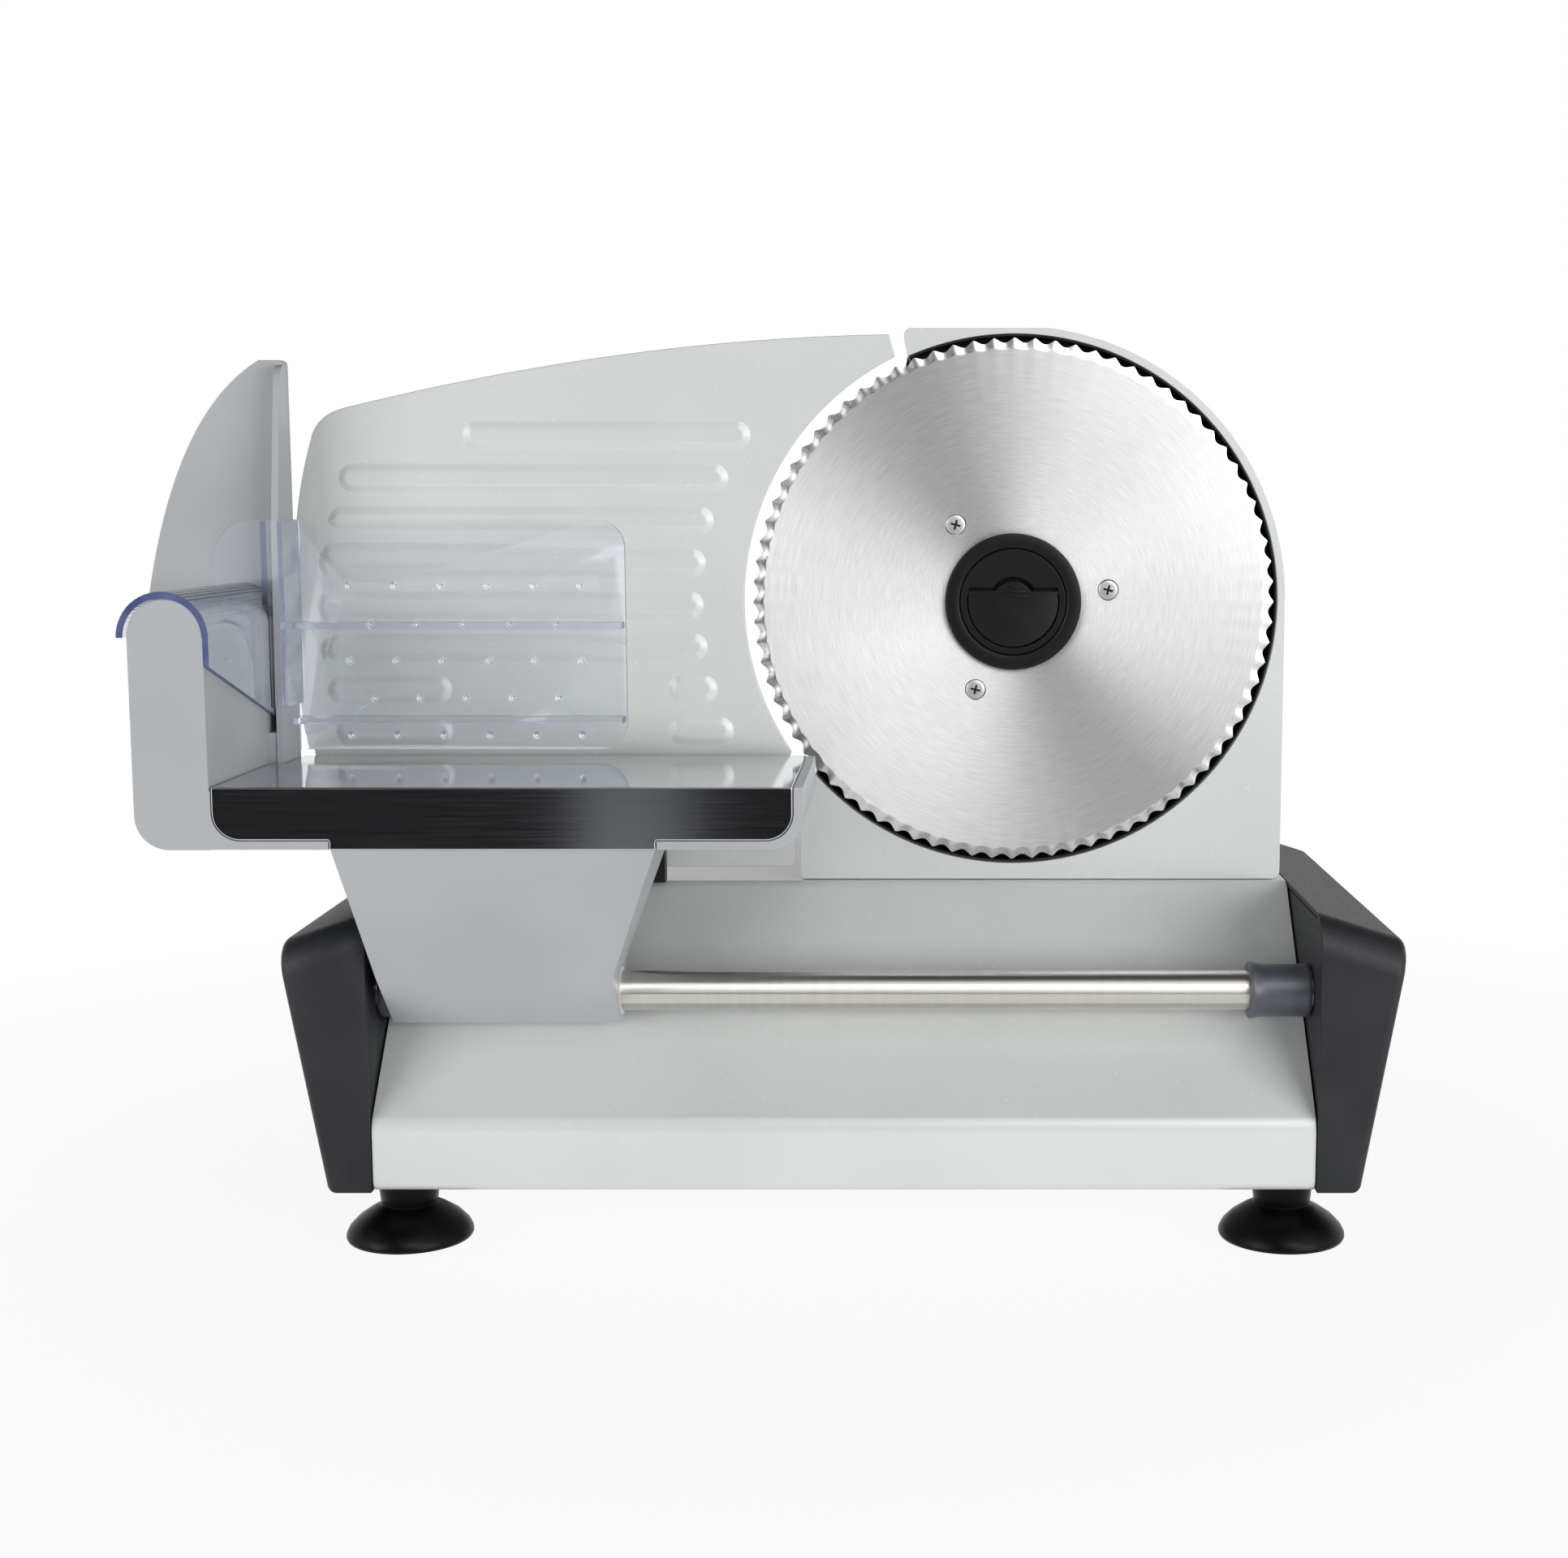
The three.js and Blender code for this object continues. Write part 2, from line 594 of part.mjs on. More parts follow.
function addHousing() {
  const corners = housingCorners();
  const edge = corners.map(([x, z]) => [x, z]);
  const housing = cut(
    prism("y", 0, HOUSING_DEPTH, rounded(corners)),
    bore("y", recessRadius, -1, RECESS_DEPTH, bladeAxis, 72),
    prism("y", floorBack, HOUSING_DEPTH + 1, inset(edge, HOUSING_WALL)),
    bore("y", SPINDLE_RADIUS + 1, RECESS_DEPTH - 1, floorBack + 1, bladeAxis),
  );
  piece("blade_housing", housing, painted);

  const outer = inset(edge, COVER_INSET);
  const back = coverFront + COVER_DEPTH;
  const roundBack = new THREE.ExtrudeGeometry(
    new THREE.Shape(inset(outer, COVER_ROUNDING).map(([x, y]) => new THREE.Vector2(x, y))),
    {
      depth: COVER_DEPTH - COVER_ROUNDING,
      bevelSize: COVER_ROUNDING,
      bevelThickness: COVER_ROUNDING,
      bevelSegments: 3,
    },
  );
  roundBack.applyMatrix4(TURNS.y);
  const block = solid(roundBack.translate(0, back - COVER_ROUNDING, 0));
  const everywhere = rectangle(-2 * FRAME_WIDTH, 2 * FRAME_WIDTH, -FRAME_WIDTH, 2 * FRAME_WIDTH);
  const slots = [0, 1, 2, 3, 4, 5].map((row) => {
    const z = bladeZ - 20 + 12 * row;
    const outline = rectangle(BLADE_X - 25, BLADE_X + 45, z, z + 5);
    return prism("y", back - 2 * HOUSING_WALL, back + 1, outline);
  });
  const cover = cut(
    block,
    prism("y", -BASE_DEPTH, coverFront, everywhere),
    prism("y", coverFront - 1, back - HOUSING_WALL, inset(outer, COVER_ROUNDING)),
    prism("y", coverFront - 1, back - COVER_ROUNDING, inset(outer, HOUSING_WALL)),
    ...slots,
    prism("x", coverRight - 2 * HOUSING_WALL, coverRight + 1, rectangle(
      switchY - switchHalfY - SEAT, switchY + switchHalfY + SEAT,
      switchZ - switchHalfZ - SEAT, switchZ + switchHalfZ + SEAT)),
  );
  piece("motor_cover", cover, painted);
}

function addSwitch() {
  const wellFloor = coverRight - 8;
  const body = cut(
    join(
      prism("x", coverRight - 22, coverRight + SEAT, rectangle(switchY - switchHalfY, switchY + switchHalfY,
        switchZ - switchHalfZ, switchZ + switchHalfZ)),
      prism("x", coverRight + SEAT, coverRight + 1.8, rectangle(
        switchY - switchHalfY - switchFlange, switchY + switchHalfY + switchFlange,
        switchZ - switchHalfZ - switchFlange, switchZ + switchHalfZ + switchFlange, 2)),
    ),
    prism("x", wellFloor, coverRight + 4, rectangle(switchY - switchHalfY + 2, switchY + switchHalfY - 2,
      switchZ - switchHalfZ + 2, switchZ + switchHalfZ - 2)),
  );
  piece("switch_body", body, blackPlastic);

  const reach = switchHalfZ - 3;
  const tilt = 7;
  const pivot = new THREE.Vector2(coverRight - 4, switchZ);
  const outline = rounded([[-1, -reach + 2], [6.5, -reach], [5, 0, 4], [6.5, reach], [-1, reach - 2]]);
  const tipped = outline.map(([x, z]) =>
    new THREE.Vector2(x, z).rotateAround(new THREE.Vector2(), rad(tilt)).add(pivot).toArray());
  const halfWidth = switchHalfY - 2 - SEAT;
  piece("switch_rocker", prism("y", switchY - halfWidth, switchY + halfWidth, tipped), rubber);
}

// Blade: dished disc with a toothed edge
function addBlade() {
  const hole = HUB_RING_RADIUS - 2.7;
  const bevelStart = BLADE_RADIUS - BEVEL_WIDTH;
  const bevelFront = 0.6 * BLADE_DISH;
  const profile = [
    [hole, BLADE_DISH],
    [bevelStart, bevelFront],
    [BLADE_RADIUS, 0],
    [bevelStart, bevelFront + BLADE_SHEET],
    [hole, BLADE_DISH + BLADE_SHEET],
    [hole, BLADE_DISH],
  ];
  const points = profile.map(([r, y]) => new THREE.Vector2(r, y));
  const disc = new THREE.LatheGeometry(points, 2 * BLADE_TEETH);
  const place = disc.attributes.position;
  for (let i = 0; i < place.count; i += 1) {
    const [x, z] = [place.getX(i), place.getZ(i)];
    const step = Math.round((Math.atan2(x, z) * BLADE_TEETH) / Math.PI);
    const valley = Math.hypot(x, z) > bevelStart + 1 && Math.abs(step) % 2 === 1;
    const scale = valley ? (BLADE_RADIUS - TOOTH_DEPTH) / BLADE_RADIUS : 1;
    place.setXYZ(i, x * scale, place.getY(i), z * scale);
  }
  const shank = 0.55 * BLADE_SCREW_HEAD;
  const headFront = 0.85 * BLADE_DISH;
  const headDepth = BLADE_SCREW_HEAD - shank;
  const tip = hubFront + HUB_FLANGE - 1;
  const screws = [0, 120, 240].map((turn) => {
    const angle = rad(BLADE_SCREW_ANGLE + turn);
    return [BLADE_X + BLADE_SCREW_CIRCLE * Math.cos(angle), bladeZ + BLADE_SCREW_CIRCLE * Math.sin(angle)];
  });
  const countersunk = (grow) => [
    [0, headFront - grow],
    [BLADE_SCREW_HEAD + grow, headFront - grow],
    [shank + grow, headFront + headDepth],
    [shank + grow, tip + grow],
    [0, tip + grow],
  ];
  const holes = screws.map((at) => turned("y", countersunk(SEAT), at, 10));
  piece("blade", cut(lay(disc, "y", bladeAxis), ...holes), steel);
  screws.forEach((at, i) => piece(`blade_screw_${i + 1}`, turned("y", countersunk(0), at, 10), zinc));

  const sides = 24;
  const stemRadius = 7;
  const pocket = hubFront + HUB_FLANGE;
  const wide = HUB_BOSS_RADIUS + 0.5;
  const hub = turned("y", [
    [wide + SEAT, hubFront],
    [HUB_RADIUS, hubFront],
    [HUB_RADIUS, pocket],
    [wide + 4, pocket + 1],
    [HUB_BOSS_RADIUS, pocket + 5],
    [HUB_BOSS_RADIUS, hubBack],
    [free(SPINDLE_RADIUS + RUN, sides), hubBack],
    [free(SPINDLE_RADIUS + RUN, sides), pocket + 5],
    [free(stemRadius + RUN, sides), pocket + 5],
    [free(stemRadius + RUN, sides), pocket],
    [wide + SEAT, pocket],
    [wide + SEAT, hubFront],
  ], bladeAxis, sides);
  piece("blade_hub", cut(hub, ...holes), blackPlastic);

  piece("hub_ring", turned("y", [
    [LOCK_RADIUS + SEAT, LOCK_SUNK],
    [HUB_RING_RADIUS, LOCK_SUNK],
    [HUB_RING_RADIUS, BLADE_DISH - SEAT],
    [hole - SEAT, BLADE_DISH - SEAT],
    [hole - SEAT, BLADE_DISH + BLADE_SHEET],
    [LOCK_RADIUS + SEAT, BLADE_DISH + BLADE_SHEET],
    [LOCK_RADIUS + SEAT, LOCK_SUNK],
  ], bladeAxis, sides), blackPlastic);

  const spindleEnd = GEAR_Y + GEAR_WIDTH / 2 + 6;
  piece("spindle", round("y", SPINDLE_RADIUS, pocket + 5 + SEAT, spindleEnd, bladeAxis), steel);
  addLock(pocket, stemRadius, wide);
}

// Lock: a knob in the hub with a lever that tips out about a pin near its straight edge
function addLock(pocket, stemRadius, wide) {
  const shell = turned("y", [
    [0, LOCK_SUNK],
    [LOCK_RADIUS, LOCK_SUNK],
    [LOCK_RADIUS, BLADE_DISH + BLADE_SHEET],
    [wide, BLADE_DISH + BLADE_SHEET],
    [wide, pocket - SEAT],
    [stemRadius, pocket - SEAT],
    [stemRadius, pocket + 5 - SEAT],
    [0, pocket + 5 - SEAT],
  ], bladeAxis, 24);
  const pinRadius = 0.7;
  const barrel = LEVER_THICKNESS / 2;
  const pinY = LOCK_SUNK + barrel;
  const pinZ = bladeZ + LEVER_FLAT - barrel;
  const pinPlace = [pinY, pinZ];
  const start = (Math.asin(LEVER_FLAT / LEVER_RADIUS) * 180) / Math.PI;
  const plate = (grow) => arc(BLADE_X, bladeZ, LEVER_RADIUS + grow, 180 - start, 360 + start, 16)
    .map(([x, z]) => [x, Math.min(z, pinZ)]);
  const halfWidth = Math.sqrt(LEVER_RADIUS ** 2 - LEVER_FLAT ** 2) - 0.6;
  const tab = (grow) => [
    [BLADE_X - TAB_RADIUS - grow, pinZ],
    [BLADE_X + TAB_RADIUS + grow, pinZ],
    ...arc(BLADE_X, bladeZ + LEVER_FLAT, TAB_RADIUS + grow, 0, 180, 10),
  ];
  const back = LOCK_SUNK + LEVER_THICKNESS;
  const lever = cut(
    join(
      prism("y", LOCK_SUNK, back, plate(0)),
      round("x", barrel, BLADE_X - halfWidth, BLADE_X + halfWidth, pinPlace, 12),
      prism("y", LOCK_SUNK, back, tab(0)),
    ),
    bore("x", pinRadius + RUN, BLADE_X - LOCK_RADIUS, BLADE_X + LOCK_RADIUS, pinPlace, 12),
  );
  const pinHalf = LEVER_RADIUS + 1.6;
  const knob = cut(
    shell,
    prism("y", LOCK_SUNK - 1, back + SEAT, plate(SEAT)),
    bore("x", barrel + SEAT, BLADE_X - LEVER_RADIUS - SEAT, BLADE_X + LEVER_RADIUS + SEAT, pinPlace, 12),
    prism("y", LOCK_SUNK - 1, pocket - 1, tab(2 * SEAT)),
    bore("x", pinRadius + RUN, BLADE_X - pinHalf, BLADE_X + pinHalf, pinPlace, 12),
  );
  piece("lock_knob", knob, blackPlastic);
  piece("lock_lever", lever, blackPlastic);
  const pinEnds = [BLADE_X - pinHalf + RUN, BLADE_X + pinHalf - RUN];
  piece("lever_pin", round("x", pinRadius, ...pinEnds, pinPlace, 12), steel);
}

// Half the thickness of a tooth or thread at a height above the pitch line
function halfTooth(height) {
  return 0.2 * toothPitch - height * Math.tan(rad(20));
}

// Worm wheel: its teeth lean with the worm's thread
function wormWheel() {
  const below = 1.25 * GEAR_MODULE;
  const halfTip = halfTooth(toothAbove) / (gearRadius + toothAbove);
  const halfRoot = halfTooth(-below) / (gearRadius - below);
  const outline = Array.from({ length: GEAR_TEETH }, (_, i) => {
    const middle = (2 * Math.PI * i) / GEAR_TEETH;
    return [
      [gearRadius - below, middle - halfRoot],
      [gearRadius + toothAbove, middle - halfTip],
      [gearRadius + toothAbove, middle + halfTip],
      [gearRadius - below, middle + halfRoot],
    ].map(([r, angle]) => new THREE.Vector2(r * Math.cos(angle), r * Math.sin(angle)));
  }).flat();
  const geometry = new THREE.ExtrudeGeometry(new THREE.Shape(outline), {
    depth: GEAR_WIDTH,
    bevelEnabled: false,
  });
  const lean = toothPitch / (2 * Math.PI * WORM_RADIUS) / gearRadius;
  const place = geometry.attributes.position;
  for (let i = 0; i < place.count; i += 1) {
    const [x, z, depth] = [place.getX(i), place.getY(i), place.getZ(i) - GEAR_WIDTH / 2];
    const turn = lean * depth;
    place.setXYZ(
      i,
      BLADE_X + x * Math.cos(turn) + z * Math.sin(turn),
      GEAR_Y + depth,
      bladeZ + z * Math.cos(turn) - x * Math.sin(turn),
    );
  }
  return cut(solid(geometry), bore("y", SPINDLE_RADIUS + RUN, 0, 2 * GEAR_Y, bladeAxis));
}

// Worm: one thread, with a gap between its turns where it faces the wheel
function wormShaft() {
  const below = 1.2 * GEAR_MODULE;
  const core = WORM_RADIUS - 1.12 * GEAR_MODULE;
  const turns = Math.floor(WORM_LENGTH / toothPitch - 1);
  const facing = -90;
  const start = BLADE_X - (toothPitch * facing) / 360 + toothPitch / 2;
  const thread = coil("x", [
    [WORM_RADIUS - below, start - halfTooth(-below)],
    [WORM_RADIUS + toothAbove, start - halfTooth(toothAbove)],
    [WORM_RADIUS + toothAbove, start + halfTooth(toothAbove)],
    [WORM_RADIUS - below, start + halfTooth(-below)],
  ], toothPitch, facing - 180 * turns, facing + 180 * turns, wormAxis, 12);
  return join(
    thread,
    round("x", core, BLADE_X - WORM_LENGTH / 2, BLADE_X + WORM_LENGTH / 2, wormAxis),
    round("x", SHAFT_RADIUS, BLADE_X - WORM_LENGTH / 2 - 12, motorFace + 7, wormAxis),
  );
}

// Drive: everything behind the blade's recess
function addDrive() {
  piece("worm_wheel", wormWheel(), whitePlastic);
  piece("worm_shaft", wormShaft(), steel);

  const collar = SHAFT_RADIUS + 6;
  const sides = 20;
  const shaftHole = free(SHAFT_RADIUS + RUN, sides);
  piece("motor", turned("x", [
    [0, motorFace + 8],
    [shaftHole, motorFace + 8],
    [shaftHole, motorFace - CASE_PLATE],
    [collar, motorFace - CASE_PLATE],
    [collar, motorFace],
    [MOTOR_RADIUS, motorFace],
    [MOTOR_RADIUS, motorEnd],
    [0, motorEnd],
  ], wormAxis, sides), zinc);

  const plateLeft = BLADE_X - gearRadius;
  const plateBack = casePlateY + CASE_PLATE;
  const blockLeft = BLADE_X - WORM_LENGTH / 2 - 11.5;
  const bushOuter = SHAFT_RADIUS + 2.5;
  const flangeFace = motorFace - SEAT;
  const flangeBack = GEAR_Y + MOTOR_RADIUS;
  const noseBack = floorBack + SEAT + CASE_PLATE;
  const boss = HUB_BOSS_RADIUS + 1;
  const gearbox = cut(
    join(
      prism("y", casePlateY, plateBack, rectangle(
        plateLeft, flangeFace, wormZ - MOTOR_RADIUS, bladeZ + boss, 4)),
      round("y", boss, floorBack + SEAT, plateBack, bladeAxis, sides),
      round("y", 2 * boss, floorBack + SEAT, noseBack, bladeAxis, sides),
      prism("x", blockLeft, blockLeft + 8, rectangle(plateBack - 1, GEAR_Y + 11, wormZ - 10, wormZ + 8)),
      prism("x", flangeFace - CASE_PLATE + 2 * SEAT, flangeFace, rectangle(
        plateBack - 1, flangeBack, wormZ - MOTOR_RADIUS, wormZ + 21)),
    ),
    bore("y", BUSH_RADIUS + RUN, floorBack, plateBack + 1, bladeAxis),
    bore("x", bushOuter + RUN, blockLeft - 1, blockLeft + 9, wormAxis),
    bore("x", collar + SEAT, flangeFace - CASE_PLATE - 1, flangeFace + 1, wormAxis),
  );
  piece("gearbox_case", gearbox, zinc);

  const spindleHole = free(SPINDLE_RADIUS + RUN, 16);
  const bush = (from) => turned("y", ring(spindleHole, BUSH_RADIUS, from, from + 10), bladeAxis);
  piece("spindle_bush_front", bush(floorBack + 1), bronze);
  piece("spindle_bush_rear", bush(plateBack - 10), bronze);
  const wormBush = ring(free(SHAFT_RADIUS + RUN, 16), bushOuter, blockLeft + 0.5, blockLeft + 7.5);
  piece("worm_bush", turned("x", wormBush, wormAxis), bronze);
}

// Fence: embossed plate whose right edge follows the blade
function fenceOutline() {
  const left = fenceLeft;
  const bottom = DECK_HEIGHT + FENCE_LIFT;
  const top = bladeZ + fenceArc - 2.1;
  const foot = housingLeft - 2.4;
  const edge = arc(...bladeAxis, fenceArc, 214, 116, 20);
  return [
    ...curve([edge.at(-1)[0] - 2.2, top], [left + 123, top - 1.3], [left + 14, top - 28]),
    ...curve([left + 9.5, top - 31], [left - 6, top - 82], [left + 6, bottom + 43]),
    ...curve([left + 9, bottom + 22], [left + 13, bottom], [left + 31, bottom], 5),
    ...curve([foot - 3, bottom], [foot, bottom], [foot, bottom + 3], 3),
    [foot, bottom + 21],
    [foot - 2.6, bottom + 36],
    ...edge,
  ];
}

function addFence() {
  const crest = SEAT;
  const face = crest + RIB_HEIGHT;
  const reach = fenceArc + RIB_MARGIN;
  const leftEnds = [62.5, 17, 13, 11, 10, 11, 11.5, 14];
  const split = [fenceLeft + RIB_BREAK_LEFT, BLADE_X - reach - RIB_BREAK_RIGHT];
  const ribs = leftEnds.flatMap((inward, row) => {
    const fromAxis = RIB_TOP_ROW - RIB_PITCH * row;
    const z = bladeZ + fromAxis;
    const left = fenceLeft + inward;
    const right = BLADE_X - Math.sqrt(reach ** 2 - fromAxis ** 2);
    const spans = row < 6 ? [[left, right]] : [[left, split[0]], [split[1], right]];
    return spans.map(([from, to]) => {
      const outline = rectangle(from, to, z - RIB_WIDTH / 2, z + RIB_WIDTH / 2, 0.49 * RIB_WIDTH);
      return prism("y", crest, face + FENCE_SHEET / 2, outline);
    });
  });
  piece("fence_plate", join(prism("y", face, face + FENCE_SHEET, fenceOutline()), ...ribs), painted);

  const blockTop = dialZ + BLOCK_HEIGHT / 2;
  const blockBottom = dialZ - BLOCK_HEIGHT / 2;
  const blockFront = bracketBack + SEAT;
  const blockBack = blockFront + BLOCK_DEPTH;
  piece("fence_bracket", prism("y", bracketFront, bracketBack, rectangle(
    bracketLeft, bracketRight, blockBottom + 3, bladeZ - 20)), zinc);

  const railPlaces = [-1, 1].map((side) => [dialX + (side * RAIL_SPREAD) / 2, dialZ]);
  const pinY = blockBack + FENCE_TRAVEL + ARM_REACH;
  const armBottom = dialZ + CAM_RADIUS + 1.5;
  const armTop = armBottom + ARM_THICKNESS;
  const pinPlace = [dialX, pinY];
  const block = cut(
    join(
      prism("y", blockFront, blockBack, rectangle(
        railPlaces[0][0] - BLOCK_EDGE, railPlaces[1][0] + BLOCK_EDGE, blockBottom, blockTop, 3)),
      prism("y", blockBack - 1, pinY + ARM_WIDTH / 2, rectangle(
        dialX - ARM_WIDTH / 2, dialX + ARM_WIDTH / 2, armBottom, armTop)),
    ),
    ...railPlaces.map((at) => bore("y", RAIL_RADIUS + RUN, 0, pinY, at)),
    bore("z", CAM_PIN_RADIUS + RUN, armBottom - 1, armTop + 1, pinPlace, 16),
  );
  piece("slide_block", block, whitePlastic);
  piece("cam_pin", round("z", CAM_PIN_RADIUS, dialZ + CAM_RADIUS - 4, armTop, pinPlace, 16), steel);

  const standTop = dialZ + RAIL_RADIUS + 3;
  const standY = LIP_Y + (standTop + 4 - lipTop) / slope + 2;
  const rails = [standY - 2, backY - SHEET - SEAT];
  const standBack = standY + STAND_SHEET;
  const standLeft = railPlaces[0][0] - STAND_EDGE;
  const standRight = railPlaces[1][0] + STAND_EDGE;
  piece("slide_rail_left", round("y", RAIL_RADIUS, ...rails, railPlaces[0]), steel);
  piece("slide_rail_right", round("y", RAIL_RADIUS, ...rails, railPlaces[1]), steel);
  const stand = join(
    prism("y", standY, standBack, rectangle(standLeft, standRight, plateTop + SEAT, standTop)),
    prism("z", plateTop + SEAT, plateTop + SEAT + STAND_SHEET, rectangle(
      standLeft, standRight, standY, standY + STAND_FOOT)),
  );
  const standHoles = railPlaces.map((at) => bore("y", RAIL_RADIUS + RUN, standY - 1, standBack + 1, at));
  piece("rail_stand", cut(stand, ...standHoles), zinc);
  addDial(pinY);
}

// Dial: a barrel cam on its spindle moves the fence by a pin in the cam's groove
function addDial(pinY) {
  const lead = FENCE_TRAVEL * (360 / DIAL_TURN);
  const camFront = pinY - 9;
  const camBack = pinY + FENCE_TRAVEL + 12;
  const upward = -90;
  const spare = 24;
  const half = CAM_PIN_RADIUS + 0.6;
  const middle = pinY + (lead * upward) / 360;
  const groove = coil("y", [
    [CAM_RADIUS - 4.5, middle - half],
    [CAM_RADIUS + 2, middle - half],
    [CAM_RADIUS + 2, middle + half],
    [CAM_RADIUS - 4.5, middle + half],
  ], -lead, upward - DIAL_TURN - spare, upward + spare, dialAxis, 20);
  const cam = cut(
    round("y", CAM_RADIUS, camFront, camBack, dialAxis, 24),
    groove,
    bore("y", DIAL_SPINDLE_RADIUS + RUN, camFront - 1, camBack + 1, dialAxis),
  );
  piece("thickness_cam", cam, whitePlastic);

  const knobFront = backY + 1.2;
  const knobBack = knobFront + DIAL_DEPTH;
  piece("dial_spindle", round("y", DIAL_SPINDLE_RADIUS, camFront - 1, knobBack - 5, dialAxis), steel);
  const spindleHole = free(DIAL_SPINDLE_RADIUS + RUN, 16);
  piece("dial_bush", turned("y", [
    [spindleHole, backY - 14],
    [dialBushRadius, backY - 14],
    [dialBushRadius, backY - SHEET - 4],
    [dialBushRadius + 4, backY - SHEET - 4],
    [dialBushRadius + 4, backY - SHEET - SEAT],
    [dialBushRadius, backY - SHEET - SEAT],
    [dialBushRadius, backY + 0.6],
    [spindleHole, backY + 0.6],
    [spindleHole, backY - 14],
  ], dialAxis), bronze);
  const knob = cut(
    turned("y", [
      [0, knobFront],
      [DIAL_RADIUS, knobFront],
      [DIAL_RADIUS, knobFront + 6],
      [DIAL_RADIUS - 5, knobFront + 9],
      [DIAL_RADIUS - 6, knobBack - 1.5],
      [DIAL_RADIUS - 8, knobBack],
      [0, knobBack],
    ], dialAxis, 24),
    bore("y", DIAL_SPINDLE_RADIUS + RUN, knobFront - 1, knobBack - 5 + SEAT, dialAxis),
  );
  piece("thickness_dial", knob, blackPlastic);
}

function addGland() {
  const cable = 4;
  piece("cord_gland", turned("y", [
    [cable, backY - 12],
    [GLAND_RADIUS, backY - 12],
    [GLAND_RADIUS, backY + SEAT],
    [GLAND_RADIUS + 4, backY + SEAT],
    [GLAND_RADIUS + 3, backY + 4],
    [cable, backY + 4],
    [cable, backY - 12],
  ], glandPlace), blackPlastic);
}

// The tray's front lip reaches lowest over the carriage's leg
function lipOutline(grow) {
  const low = carriageBottom + 3.2;
  const step = carriageBottom - (grow > 0 ? 1 : 0);
  return rounded([
    [trayLeft - grow, trayTop],
    [trayLeft - grow, low - grow, 9],
    [legLeft - LEG_FLARE_LEFT - grow, low - grow],
    [legLeft - LEG_FLARE_LEFT - grow, step],
    [legRight + LEG_FLARE_RIGHT + grow, step],
    [legRight + LEG_FLARE_RIGHT + grow, low - grow],
    [trayRight + grow, low - grow, 9],
    [trayRight + grow, trayTop],
  ]);
}

const legBend = rodZ + 9.4;
const glideRadius = ROD_RADIUS + GLIDE_WALL;
const legReach = glideRadius + 2;
const leftWeb = -frameHalf + STOP_LENGTH + SEAT;

// The leg hangs from the tray's front, slants back to the rod and reaches round it
function leg() {
  const bottom = rodZ - legReach - 1;
  const front = (wall) => [
    [legLeft - LEG_FLARE_LEFT + wall, carriageBottom + (wall ? -wall : 1)],
    [legRight + LEG_FLARE_RIGHT - wall, carriageBottom + (wall ? -wall : 1)],
    [legRight - wall, legBend],
    [legRight - wall, bottom],
    [legLeft + wall, bottom],
    [legLeft + wall, legBend],
  ];
  const side = [
    [trayFront + 0.5, carriageBottom + 1],
    [ROD_Y - 26, legBend],
    ...arc(...rodAxis, legReach, 250, 360, 8),
    [ROD_Y + legReach, carriageBottom + 1],
  ];
  const hollow = [
    [trayFront + 4, carriageBottom - CARRIAGE_WALL],
    [ROD_Y - 22.6, legBend + 0.8],
    [ROD_Y, bottom - 4],
    [ROD_Y + legReach + 5, bottom - 4],
    [ROD_Y + legReach + 5, carriageBottom - CARRIAGE_WALL],
  ];
  const everyX = [legLeft - 2 * LEG_FLARE_LEFT, legRight + 2 * LEG_FLARE_RIGHT];
  const body = prism("y", trayFront, 0, front(0)).intersect(prism("x", ...everyX, side));
  const inside = prism("y", trayFront, 0, front(LEG_WALL)).intersect(prism("x", ...everyX, hollow));
  const web = prism("x", leftWeb + 3, leftWeb + 7, side).intersect(body);
  return cut(
    join(cut(body, inside), web),
    bore("x", glideRadius + RUN, leftWeb - 1, legRight + 1, rodAxis),
    bore("x", STOP_RADIUS + 1.4, legLeft - 1, leftWeb + 1, rodAxis),
  );
}

